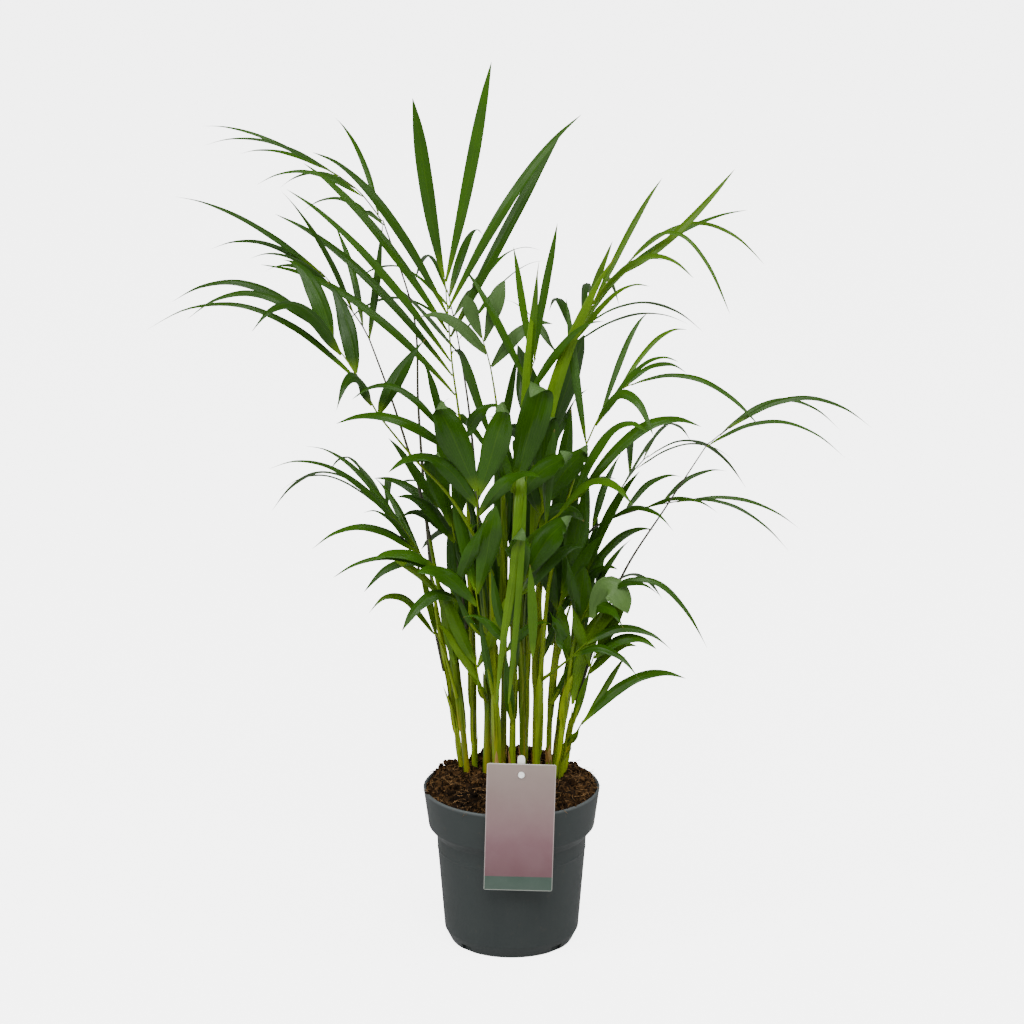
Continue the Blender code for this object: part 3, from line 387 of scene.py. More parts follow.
peat = Finish("peat", Specular_IOR_Level=0.08)
place = peat.own_place()
_, mottle = grain_and_mottle(peat, place, 1500.0, 90.0)
damp = peat.ramp(peat.noise(place, 55.0), 0.42, 0.60)
colour = peat.mixed(mottle, PEAT_BROWN, PEAT_LIGHT)
colour = peat.mixed(peat.ramp(peat.noise(place, 420.0, 4.0), 0.45, 0.62), colour, PEAT_DARK)
colour = peat.mixed(peat.math("MULTIPLY", damp, 0.55), colour, PEAT_DARK)
peat.dress(
    Base_Color=wetted(peat, place, colour),
    Roughness=peat.ramp(damp, 0, 1, 0.97, 0.7),
    Normal=peat.bump(peat.noise(place, 700.0, 6.0, 0.7), 0.8, 0.0012),
)

points, faces = bed_shape()
bed_mesh = bpy.data.meshes.new("soil_bed")
bed_mesh.from_pydata(points, [], faces)
bed_mesh.update()
bed = new_object("soil_bed", bed_mesh, peat.material)
bed.data.shade_smooth()
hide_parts("soil")
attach(bed, "root")


class Tree(Wiring):
    """A geometry node tree with named inputs, each given by its kind of socket."""

    def __init__(self, name, **inputs):
        super().__init__(bpy.data.node_groups.new(name, "GeometryNodeTree"))
        new_socket = self.tree.interface.new_socket
        new_socket(name="Geometry", in_out="INPUT", socket_type="NodeSocketGeometry")
        self.sockets = {}
        for key, kind in inputs.items():
            socket = new_socket(name=key.replace("_", " "), in_out="INPUT", socket_type="NodeSocket" + kind)
            self.sockets[key] = socket.identifier
        new_socket(name="Geometry", in_out="OUTPUT", socket_type="NodeSocketGeometry")
        self.given = self.node("NodeGroupInput").outputs
        self.result = self.node("NodeGroupOutput").inputs[0]

    def vector(self, how, a, b=None, scale=None):
        made = self.node("ShaderNodeVectorMath", {"operation": how}, _0=a)
        if b is not None:
            self.feed(made.inputs[1], b)
        if scale is not None:
            self.feed(made.inputs["Scale"], scale)
        return made.outputs["Value"] if how == "DOT_PRODUCT" else made.outputs[0]

    def random_number(self, low, high):
        made = self.node("FunctionNodeRandomValue", {"data_type": "FLOAT"}, _2=low, _3=high,
                         Seed=self.given["Seed"])
        return made.outputs[1]

    def random_vector(self, low, high):
        made = self.node("FunctionNodeRandomValue", {"data_type": "FLOAT_VECTOR"}, _0=low, _1=high,
                         Seed=self.given["Seed"])
        return made.outputs[0]

    def scattered(self, piece, turn, scale):
        """Copies of the piece at random over the surface that the tree is given."""
        spots = self.node("GeometryNodeDistributePointsOnFaces", {"distribute_method": "RANDOM"},
                          Mesh=self.given["Geometry"], Density=self.given["Density"], Seed=self.given["Seed"])
        made = self.node("GeometryNodeInstanceOnPoints", Points=spots.outputs[0], Instance=piece,
                         Rotation=turn, Scale=scale)
        return made.outputs[0]

    def named(self, name, kind="FLOAT"):
        made = self.node("GeometryNodeInputNamedAttribute", {"data_type": kind}, Name=name)
        return made.outputs["Attribute"]

    def stored(self, geometry, name, value, kind="FLOAT"):
        made = self.node("GeometryNodeStoreNamedAttribute", {"data_type": kind, "domain": "POINT"},
                         Geometry=geometry, Name=name, Value=value)
        return made.outputs[0]

    def curve(self, value, points):
        """A smooth function of value, through the given points."""
        made = self.node("ShaderNodeFloatCurve", Value=value)
        line = made.mapping.curves[0]
        line.points[0].location = points[0]
        line.points[1].location = points[-1]
        for point in points[1:-1]:
            line.points.new(*point)
        made.mapping.update()
        return made.outputs[0]

    def end(self, geometry):
        """Realise what is instanced, and give it the material that the tree is handed."""
        whole = self.node("GeometryNodeRealizeInstances", Geometry=geometry).outputs[0]
        dressed = self.node("GeometryNodeSetMaterial", Geometry=whole, Material=self.given["Material"])
        self.feed(self.result, dressed.outputs[0])

    def grow(self, name, source, **values):
        """A new object with the tree's result on the source mesh, as a plain mesh."""
        grown = new_object(name, source)
        modifier = grown.modifiers.new("grow", "NODES")
        modifier.node_group = self.tree
        for key, value in values.items():
            modifier[self.sockets[key]] = value
        return plain_mesh_of(grown)


# Crumbs and fibres lie on the top of the bed only.
top_mesh = bpy.data.meshes.new("soil_top")
top_mesh.from_pydata(points[:SOIL_RINGS * SOIL_SPOKES], [], faces[:(SOIL_RINGS - 1) * SOIL_SPOKES])

crumbs = Tree("soil_crumbs", Material="Material", Density="Float", Size="Float", Seed="Int")
lump = crumbs.node("GeometryNodeMeshIcoSphere", Radius=crumbs.given["Size"], Subdivisions=1).outputs[0]
size = crumbs.math("POWER", crumbs.random_number(*CRUMB_SIZES), 2.2)
turn = crumbs.random_vector((0, 0, 0), (math.tau, math.tau, math.tau))
squash = crumbs.random_vector(CRUMB_FLATTEST, CRUMB_ROUNDEST)
crumbs.end(crumbs.scattered(lump, turn, crumbs.vector("SCALE", squash, scale=size)))

loose_peat = Finish("peat_crumbs", Roughness=0.95, Specular_IOR_Level=0.08)
place = loose_peat.own_place()
grain, mottle = grain_and_mottle(loose_peat, place, 1900.0, 520.0)
colour = loose_peat.mixed(mottle, PEAT_DARK, PEAT_BROWN)
colour = loose_peat.mixed(loose_peat.ramp(loose_peat.noise(place, 330.0, 2.0), 0.5, 0.66), colour, PEAT_LIGHT)
loose_peat.dress(Base_Color=wetted(loose_peat, place, colour), Normal=loose_peat.bump(grain, 0.7, 0.0006))
strewn = crumbs.grow("soil_crumbs", top_mesh.copy(), Material=loose_peat.material, Density=CRUMB_DENSITY,
                     Size=CRUMB_SIZE, Seed=7)
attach(strewn, "root")

fibres = Tree("coir_fibres", Material="Material", Density="Float", Length="Float", Thickness="Float",
              Seed="Int")
strand = fibres.node("GeometryNodeCurveQuadraticBezier", Resolution=5, Start=(-0.5, 0, 0),
                     Middle=(0, 0.35, 0.22), End=(0.5, 0, 0)).outputs[0]
long = fibres.math("MULTIPLY", fibres.random_number(*FIBRE_LENGTHS), fibres.given["Length"])
turn = fibres.random_vector((-FIBRE_TILT[0], -FIBRE_TILT[1], 0), (*FIBRE_TILT, math.tau))
laid = fibres.node("GeometryNodeRealizeInstances", Geometry=fibres.scattered(strand, turn, long)).outputs[0]
thread = fibres.node("GeometryNodeCurvePrimitiveCircle", {"mode": "RADIUS"}, Resolution=3,
                     Radius=fibres.given["Thickness"]).outputs[0]
swept = fibres.node("GeometryNodeCurveToMesh", Curve=laid, Profile_Curve=thread, Fill_Caps=True)
fibres.end(swept.outputs[0])

coir = Finish("coir", Roughness=0.9, Specular_IOR_Level=0.25)
tint = coir.ramp(coir.noise(coir.own_place(), 260.0, 2.0), 0.4, 0.6)
coir.dress(Base_Color=coir.mixed(tint, PEAT_LIGHT, COIR))
strands = fibres.grow("coir_fibres", top_mesh.copy(), Material=coir.material, Density=FIBRE_DENSITY,
                      Length=FIBRE_LENGTH, Thickness=FIBRE_THICKNESS, Seed=3)
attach(strands, "root")


# ---- label ----
# A printed card on a white moulded stake: pale taupe fading to old rose, a sage band along its foot, and a
# bare paper edge. The stake's stud comes through the card's hole, and the card hangs a little askew from it.
CARD_HOLE = (0.0065, 0.0, 0.1395)
CARD_TILT = math.radians(1.6)
CARD_HALF_WIDTH = 0.023
CARD_TOP = 0.0075
CARD_BOTTOM = -0.0825
BAND_TOP = -0.0725
MAUVE_HEIGHT = CARD_TOP * 0.36 + CARD_BOTTOM * 0.64
ROSE_START = CARD_TOP * 0.45 + CARD_BOTTOM * 0.55
BARE_EDGE = 0.0005
CARD_TAUPE = (0.232, 0.185, 0.162, 1)
CARD_MAUVE = (0.158, 0.084, 0.095, 1)
CARD_ROSE = (0.115, 0.056, 0.064, 1)
CARD_SAGE = (0.039, 0.064, 0.049, 1)
CARD_CORE = (0.80, 0.77, 0.72, 1)
STAKE_WHITE = (0.86, 0.86, 0.83, 1)
STAKE_SOILED_HEIGHTS = (0.125, 0.108)

card = Finish("printed_card", Roughness=0.5, Specular_IOR_Level=0.25, Coat_Roughness=0.4)
place = card.own_place()
grain, mottle = grain_and_mottle(card, place, 1600.0, 60.0)
on_card = card.parts(card.node("ShaderNodeMapping", {"vector_type": "TEXTURE"}, Vector=place,
                               Location=CARD_HOLE, Rotation=(0, CARD_TILT, 0)).outputs[0])
height = on_card["Z"]
colour = card.mixed(card.ramp(height, CARD_TOP, MAUVE_HEIGHT), CARD_TAUPE, CARD_MAUVE)
colour = card.mixed(card.ramp(height, ROSE_START, BAND_TOP), colour, CARD_ROSE)
colour = card.mixed(card.math("LESS_THAN", height, BAND_TOP), colour, CARD_SAGE)
facing = card.parts(card.node("ShaderNodeNewGeometry").outputs["Normal"])["Y"]
cut_side = card.math("LESS_THAN", card.math("ABSOLUTE", facing), 0.5)
sides = card.math("GREATER_THAN", card.math("ABSOLUTE", on_card["X"]), CARD_HALF_WIDTH - BARE_EDGE)
ends = card.math("ADD", card.math("GREATER_THAN", height, CARD_TOP - BARE_EDGE),
                 card.math("LESS_THAN", height, CARD_BOTTOM + BARE_EDGE))
border = card.math("MULTIPLY", card.math("ADD", sides, ends, clamp=True), 0.22)
colour = card.mixed(card.math("MAXIMUM", cut_side, border), colour, CARD_CORE)
card.dress(
    Base_Color=card.mixed(card.math("MULTIPLY", mottle, 0.015), colour, CARD_CORE),
    Coat_Weight=card.ramp(mottle, 0, 1, 0.05, 0.09),
    Normal=card.bump(grain, 0.12, 0.0001),
)

white_plastic = Finish("stake_plastic", Specular_IOR_Level=0.5)
place = white_plastic.own_place()
grain, mottle = grain_and_mottle(white_plastic, place, 1200.0, 150.0)
soiled = white_plastic.ramp(white_plastic.parts(place)["Z"], *STAKE_SOILED_HEIGHTS)
white_plastic.dress(
    Base_Color=white_plastic.mixed(white_plastic.math("MULTIPLY", soiled, mottle), STAKE_WHITE, PEAT_LIGHT),
    Roughness=white_plastic.ramp(mottle, 0, 1, 0.28, 0.42),
    Normal=white_plastic.bump(grain, 0.1, 0.0002),
)

for name, finish in (("tag", card), ("tag_stake", white_plastic)):
    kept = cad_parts[name]
    kept.data.materials.clear()
    kept.data.materials.append(finish.material)


# ---- canes ----
# Each seedling is one slim cane, which is really rolled leaf sheaths: yellow-green and faintly ribbed, darker
# where it is older, with brown papery remains of the first sheaths at its foot.
CANE_STATIONS = 6
CANE_STEPS = 90
CANE_SIDES = 16
CANE_SWELL = [(0.0, 1.12), (0.12, 1.1), (0.3, 1.0), (0.75, 1.0), (1.0, 0.94)]
CANE_LIME = (0.170, 0.245, 0.0004, 1)
CANE_GREEN = (0.048, 0.105, 0.0003, 1)
CANE_OLIVE = (0.030, 0.046, 0.0004, 1)
CANE_STRAW = (0.30, 0.22, 0.008, 1)
SHEATH_BROWN = (0.145, 0.068, 0.014, 1)
SHEATH_TAN = (0.36, 0.235, 0.075, 1)
SHEATH_SHAPE = [(0.0, 0.7), (0.12, 0.95), (0.45, 1.0), (0.8, 0.62), (1.0, 0.03)]
SHEATH_WRAP = [(0.0, 1.0), (0.5, 0.8), (1.0, 0.3)]
SHEATH_STEPS = 24
SHEATH_SIDES = 16
SHEATH_THICKNESS = 0.06
SHEATHS_PER_CANE = 6
SHEATH_STARTS = (0.12, 0.6)
SHEATH_LENGTHS = (0.3, 0.45)
SHEATH_WIDTHS = (0.0020, 0.0036)
SHEATH_LEANS = (0.001, 0.006)
FOOT_SHEATHS = 2
FOOT_SHEATH_END = (0.08, 0.24)
FOOT_SHEATH_WIDTHS = (0.0016, 0.0028)
FOOT_SHEATH_LEAN = 0.002
PAPERY_SHADES = (1.6, 2.0)
CREASE_ANGLE = math.radians(50)


def welded(node):
    """The points of a CAD node's mesh, with its loose triangles merged, and each point's neighbours."""
    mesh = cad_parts[node].data
    corners = np.array([v.co for v in mesh.vertices])
    points, index = np.unique(np.round(corners, 6), axis=0, return_inverse=True)
    index = index.reshape(-1)
    near = [set() for _ in points]
    for face in mesh.polygons:
        ring = [int(index[v]) for v in face.vertices]
        for a, b in zip(ring, ring[1:] + ring[:1]):
            if a != b:
                near[a].add(b)
                near[b].add(a)
    return points, near


def cane_line(node):
    """The middle and the radius of a cane at its stations, foot first."""
    points, _ = welded(node)
    stations = np.array_split(points[points[:, 2].argsort()], CANE_STATIONS)
    middles = [ring.mean(0) for ring in stations]
    radii = [float(np.linalg.norm(ring - middle, axis=1).max()) for ring, middle in zip(stations, middles)]
    return middles, radii


def lines_mesh(name, lines):
    """A mesh of separate lines, each a dictionary of points, girths, facings, kind and shade."""
    mesh = bpy.data.meshes.new(name)
    points = [p for line in lines for p in line["points"]]
    edges = []
    start = 0
    for line in lines:
        count = len(line["points"])
        edges += [(start + i, start + i + 1) for i in range(count - 1)]
        start += count
    mesh.from_pydata([tuple(p) for p in points], edges, [])
    for key, kind, field in (("girth", "FLOAT", "value"), ("facing", "FLOAT_VECTOR", "vector"),
                             ("kind", "FLOAT", "value"), ("shade", "FLOAT", "value")):
        values = [line[key][i] if isinstance(line[key], list) else line[key]
                  for line in lines for i in range(len(line["points"]))]
        mesh.attributes.new(key, kind, "POINT").data.foreach_set(field, np.array(values, float).ravel())
    return mesh


def evened(tree, lines, steps):
    """The lines drawn out smooth, in even steps that know how far along they are."""
    smooth = tree.node("GeometryNodeCurveSplineType", {"spline_type": "CATMULL_ROM"}, Curve=lines).outputs[0]
    even = tree.node("GeometryNodeResampleCurve", {"mode": "COUNT"}, Curve=smooth, Count=tree.given[steps])
    return tree.stored(even.outputs[0], "along", tree.node("GeometryNodeSplineParameter").outputs["Factor"])


def section_ring(tree, sides):
    """The ring that is swept along a line, with its points' places stored on it, and those places."""
    circle = tree.node("GeometryNodeCurvePrimitiveCircle", {"mode": "RADIUS"}, Resolution=tree.given[sides],
                       Radius=1.0)
    spot = tree.parts(tree.node("GeometryNodeInputPosition").outputs[0])
    ring = tree.stored(circle.outputs[0], "across", spot["Y"])
    return tree.stored(ring, "side", spot["X"]), spot


def swept(tree, lines, ring, outline):
    """The ring swept along the lines, as wide as their girth and the outline say."""
    lines = tree.stored(lines, "width", tree.math("MULTIPLY", tree.named("girth"), outline))
    return tree.node("GeometryNodeCurveToMesh", Curve=lines, Profile_Curve=ring, Scale=tree.named("width"),
                     Fill_Caps=True).outputs[0]


def swept_rods(tree, lines, shape):
    """Round rods: a cane, or a leaf's stalk."""
    lines = evened(tree, lines, "Rod Steps")
    ring, _ = section_ring(tree, "Rod Sides")
    return swept(tree, lines, ring, tree.curve(tree.named("along"), shape))


def swept_blades(tree, lines, shape, broad_shape, fold_shape):
    """Thin blades that face the way their lines say, folded along the middle, pleated and a little wavy.
    A blade of kind 1 has the plain outline and the deepest fold, and one of kind 2 the broad outline."""
    lines = evened(tree, lines, "Blade Steps")
    ahead = tree.node("GeometryNodeInputTangent").outputs[0]
    facing = tree.named("facing", "FLOAT_VECTOR")
    lean = tree.vector("SCALE", ahead, scale=tree.vector("DOT_PRODUCT", facing, ahead))
    square = tree.vector("NORMALIZE", tree.vector("SUBTRACT", facing, lean))
    lines = tree.stored(lines, "facing", square, "FLOAT_VECTOR")
    lines = tree.node("GeometryNodeSetCurveNormal", {"mode": "FREE"}, Curve=lines, Normal=facing).outputs[0]
    ring, spot = section_ring(tree, "Blade Sides")
    thin = tree.math("MULTIPLY", spot["X"], tree.given["Thickness"])
    flat = tree.node("ShaderNodeCombineXYZ", X=thin, Y=spot["Y"]).outputs[0]
    ring = tree.node("GeometryNodeSetPosition", Geometry=ring, Position=flat).outputs[0]

    along = tree.named("along")
    plain = tree.curve(along, shape)
    gain = tree.math("SUBTRACT", tree.curve(along, broad_shape), plain)
    outline = tree.math("MULTIPLY_ADD", gain, tree.math("SUBTRACT", tree.named("kind"), 1.0), plain)
    body = swept(tree, lines, ring, outline)

    across = tree.named("across")
    fold = tree.math("MULTIPLY", tree.curve(along, fold_shape), tree.given["Fold"])
    fold = tree.math("MULTIPLY", fold, tree.math("MULTIPLY_ADD", tree.named("kind"), -0.6, 1.6))
    drop = tree.math("MULTIPLY", tree.math("ABSOLUTE", across), fold)
    pleat = tree.math("COSINE", tree.math("MULTIPLY", across, 3 * math.tau / 2))
    pleat = tree.math("MULTIPLY", pleat, tree.given["Pleat"])
    wave = tree.math("MULTIPLY_ADD", along, 17.0, tree.math("MULTIPLY", tree.named("shade"), 40.0))
    wave = tree.math("MULTIPLY", tree.math("SINE", wave), across)
    wave = tree.math("MULTIPLY", wave, tree.given["Ripple"])
    lift = tree.math("SUBTRACT", tree.math("ADD", pleat, wave), drop)
    lift = tree.math("MULTIPLY", lift, tree.named("width"))
    offset = tree.vector("SCALE", facing, scale=lift)
    return tree.node("GeometryNodeSetPosition", Geometry=body, Offset=offset).outputs[0]


def sweep_tree(name, rod_shape, blade_shape, broad_shape, fold_shape):
    """Gives every line its body: a rod where its kind is 0, and otherwise a blade."""
    tree = Tree(name, Material="Material", Rod_Steps="Int", Rod_Sides="Int", Blade_Steps="Int",
                Blade_Sides="Int", Thickness="Float", Fold="Float", Pleat="Float", Ripple="Float")
    lines = tree.node("GeometryNodeMeshToCurve", Mesh=tree.given["Geometry"]).outputs[0]
    is_blade = tree.node("FunctionNodeCompare", {"data_type": "FLOAT", "operation": "GREATER_THAN"},
                         _0=tree.named("kind"), _1=0.5).outputs[0]
    blades, rods = tree.node("GeometryNodeSeparateGeometry", {"domain": "CURVE"}, Geometry=lines,
                             Selection=is_blade).outputs
    joined = tree.node("GeometryNodeJoinGeometry")
    tree.feed(joined.inputs[0], swept_rods(tree, rods, rod_shape))
    tree.feed(joined.inputs[0], swept_blades(tree, blades, blade_shape, broad_shape, fold_shape))
    tree.end(joined.outputs[0])
    return tree


def along_line(points, share):
    """The place at a share of a line's length."""
    points = np.array(points)
    steps = np.linalg.norm(np.diff(points, axis=0), axis=1)
    walked = np.concatenate([[0], np.cumsum(steps)]) / steps.sum()
    return np.array([np.interp(share, walked, points[:, k]) for k in range(3)])


def sheath_line(points, radius, start, end, turn, half_width, lean):
    """A free-edged sheath that clasps a cane from one share of its length to another, then leans off it."""
    out = np.array((math.cos(turn), math.sin(turn), 0.0))
    route = []
    for t in (0.0, 0.2, 0.45, 0.7, 1.0):
        middle = along_line(points, start + (end - start) * t)
        route.append(middle + out * (radius * 0.8 + lean * max(0.0, t - 0.3) ** 1.6))
    return {"points": route, "girth": half_width, "facing": tuple(out), "kind": 1.0}


def cane_with_sheaths(node):
    """A cane's line, then those of the green sheaths up it and of the papery ones at its foot."""
    middles, radii = cane_line(node)
    shade = float(chance.uniform(0, 1))
    lines = [{"points": middles, "girth": radii, "facing": (0, -1, 0), "kind": 0.0, "shade": shade}]
    for _ in range(SHEATHS_PER_CANE):
        start = chance.uniform(*SHEATH_STARTS)
        end = min(1.0, start + chance.uniform(*SHEATH_LENGTHS))
        turn = chance.uniform(0, math.tau)
        half_width = chance.uniform(*SHEATH_WIDTHS)
        sheath = sheath_line(middles, radii[1], start, end, turn, half_width, chance.uniform(*SHEATH_LEANS))
        sheath["shade"] = float(np.clip(shade + chance.uniform(-0.35, 0.35), 0, 1))
        lines.append(sheath)
    for _ in range(FOOT_SHEATHS):
        end = chance.uniform(*FOOT_SHEATH_END)
        turn = chance.uniform(0, math.tau)
        half_width = chance.uniform(*FOOT_SHEATH_WIDTHS)
        sheath = sheath_line(middles, radii[0], 0.0, end, turn, half_width, FOOT_SHEATH_LEAN)
        sheath["shade"] = float(chance.uniform(*PAPERY_SHADES))
        lines.append(sheath)
    return lines


def fit_grown(piece, node):
    """Shades a grown piece, smooth but for its creases, and puts it in the CAD node's place."""
    piece.data.shade_smooth()
    piece.data.set_sharp_from_angle(angle=CREASE_ANGLE)
    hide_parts(node)
    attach(piece, "root")


cane_skin = Finish("cane_skin", Specular_IOR_Level=0.2)
place = cane_skin.own_place()
shade = cane_skin.attribute("shade")
_, mottle = grain_and_mottle(cane_skin, cane_skin.stretched(place, (1, 1, 0.15)), 1500.0, 260.0)
ribs = cane_skin.noise(cane_skin.stretched(place, (1, 1, 0.02)), 1300.0, 2.0)
patches = cane_skin.ramp(cane_skin.noise(cane_skin.stretched(place, (1, 1, 0.08)), 240.0), 0.46, 0.6)
straw = cane_skin.math("MULTIPLY", cane_skin.ramp(cane_skin.attribute("along"), 0.38, 0.05), patches)
colour = cane_skin.mixed(cane_skin.ramp(shade, 0.1, 0.9), CANE_GREEN, CANE_LIME)
colour = cane_skin.mixed(cane_skin.math("MULTIPLY", mottle, 0.45), colour, CANE_OLIVE)
colour = cane_skin.mixed(cane_skin.math("MULTIPLY", straw, 0.6), colour, CANE_STRAW)
colour = cane_skin.mixed(cane_skin.math("MULTIPLY", cane_skin.ramp(ribs, 0.5, 0.75), 0.35), colour, CANE_LIME)
papery = cane_skin.mixed(cane_skin.ramp(shade, *PAPERY_SHADES), SHEATH_BROWN, SHEATH_TAN)
cane_skin.dress(
    Base_Color=cane_skin.mixed(cane_skin.ramp(shade, 1.3, 1.5), colour, papery),
    Roughness=cane_skin.ramp(mottle, 0, 1, 0.3, 0.46),
    Normal=cane_skin.bump(ribs, 0.35, 0.0005),
)

cane_tree = sweep_tree("cane_sweep", CANE_SWELL, SHEATH_SHAPE, SHEATH_SHAPE, SHEATH_WRAP)
chance = np.random.default_rng(11)
for name in sorted(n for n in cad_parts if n.startswith("stem_")):
    piece = cane_tree.grow(
        name.replace("stem", "cane"), lines_mesh(name, cane_with_sheaths(name)), Material=cane_skin.material,
        Rod_Steps=CANE_STEPS, Rod_Sides=CANE_SIDES, Blade_Steps=SHEATH_STEPS, Blade_Sides=SHEATH_SIDES,
        Thickness=SHEATH_THICKNESS, Fold=0.8, Pleat=0.0, Ripple=0.03,
    )
    fit_grown(piece, name)


# ---- leaves ----
# Pinnate leaves on thin stalks: long narrow leaflets, each creased along its middle with the ridge on top,
# glossy deep green above and paler below, and broad two-lobed first leaves low in the clump.
LEAF_STEPS = 26
LEAF_SIDES = 24
STALK_STEPS = 44
STALK_SIDES = 10
BLADE_SHAPE = [
    (0.0, 0.20), (0.05, 0.42), (0.15, 0.78), (0.32, 1.0), (0.48, 0.95), (0.66, 0.70), (0.82, 0.36),
    (0.93, 0.11), (1.0, 0.02),
]
BROAD_SHAPE = [
    (0.0, 0.16), (0.14, 0.38), (0.34, 0.72), (0.54, 0.95), (0.68, 1.0), (0.80, 0.86), (0.92, 0.46),
    (1.0, 0.03),
]
BLADE_FOLD = [(0.0, 1.0), (0.25, 0.62), (0.7, 0.38), (1.0, 0.15)]
BLADE_FULLNESS = 1.08
BLADE_THINNESS = 0.045
STALK_SHAPE = [(0.0, 1.3), (0.12, 1.0), (0.5, 0.82), (1.0, 0.6)]
STALK_SEAT = 0.004
STALK_THICKEST = 0.0014
SHORTEST_TIP = 0.003
BACK_ROW = 0.055
LEAF_DEEP = (0.006, 0.026, 0.0002, 1)
LEAF_MID = (0.026, 0.082, 0.0003, 1)
LEAF_FRESH = (0.110, 0.200, 0.0004, 1)
LEAF_UNDER = (0.058, 0.110, 0.030, 1)
LEAF_VEIN = (0.10, 0.19, 0.001, 1)
LEAF_DRY = (0.22, 0.13, 0.035, 1)
STALK_GREEN = (0.060, 0.115, 0.002, 1)
STALK_DARK = (0.040, 0.040, 0.022, 1)

# How fresh each leaf is, from 0 on an old dark leaf to 1 on a new lime one, and how far its leaflets stray.
LEAF_TONES = {
    "01": 0.40, "02": 0.34, "03": 0.34, "04": 0.28, "05": 0.32, "06": 0.34, "07": 0.38, "08": 0.62,
    "09": 0.62, "10": 0.52, "11": 0.48, "12": 0.55, "13": 0.34, "14": 0.36, "15": 0.26, "16": 0.30,
    "17": 0.60, "18": 0.25, "19": 0.30, "20": 0.42, "21": 0.50, "22": 0.28, "23": 0.36, "24": 0.20,
    "25": 0.30, "26": 0.30, "27": 0.28, "28": 0.30, "29": 0.15, "30": 0.15, "31": 0.20, "32": 0.25,
    "33": 0.42, "34": 0.30, "35": 0.35, "36": 0.40, "37": 0.35, "38": 0.60, "39": 0.72, "40": 0.60,
}
TONE_SPREAD = 0.16
# Leaves whose leaflets are slimmer than the CAD's, as a share of its width.
SLIM_LEAVES = {
    "01": 0.92, "02": 0.74, "03": 0.76, "04": 0.95, "05": 0.66, "06": 0.76, "07": 0.80, "08": 0.80,
    "09": 0.68, "10": 0.62, "11": 0.66, "12": 0.85, "13": 0.70, "14": 0.70, "15": 0.66, "16": 0.70,
    "17": 0.74, "18": 0.85, "23": 0.62, "25": 0.72, "26": 0.72, "27": 0.70, "28": 0.70, "31": 0.72,
    "33": 0.60, "34": 0.78, "35": 0.80, "39": 0.85, "40": 0.85,
}
# A leaflet's kind says how full it is towards its tip, from 1 on a long whip to 2 on a broad round blade.
WHIP_LEAVES = {"02", "03", "04", "06", "08", "13", "14", "15", "16", "23", "25", "26", "27", "28", "31"}
CROWN_LEAF = "01"
WHIP_KIND = 1.0
STIFF_KIND = 1.45
CROWN_KIND = 1.7
BROAD_KIND = 1.95
# Two-lobed first leaves: how much fuller their two widest leaflets are than a plain one.
BROAD_LEAVES = {
    "18": 0.82, "19": 1.25, "20": 1.2, "21": 1.15, "22": 1.2, "24": 1.2, "29": 1.3, "30": 1.3, "32": 1.3,
    "33": 1.0, "36": 1.25, "37": 1.3, "38": 1.2,
}
# First leaves whose lobes nod over at the tip: each step of the bend, as a share of the last stretch.
NODDING = {"19", "20", "22", "24", "33", "36"}
NOD_STEP = 0.27
NOD_BEND = (6, 32, 80, 128, 150)
# Leaves that have turned over, so that their paler underside looks up.
PALE_LEAVES = {"18"}
# Leaves whose thin stalk has aged to a dark grey-brown.
DARK_STALKS = {"02", "03", "13", "14", "25", "26", "27", "28", "34"}
DARK_STALK_SHADE = 1.5
# Stalks that are still clasped by their sheath, and its half width.
CLASPED_STALKS = {
    "05": 0.0022, "07": 0.0022, "10": 0.0036, "12": 0.0026, "17": 0.0026, "19": 0.0026, "20": 0.0030,
    "21": 0.0026, "22": 0.0026, "23": 0.0034, "24": 0.0024, "36": 0.0024, "37": 0.0024, "38": 0.0022,
    "39": 0.0026, "40": 0.0024,
}
CLASP_RADIUS = 0.0012
CLASP_END = 0.8
CLASP_LEAN = 0.003
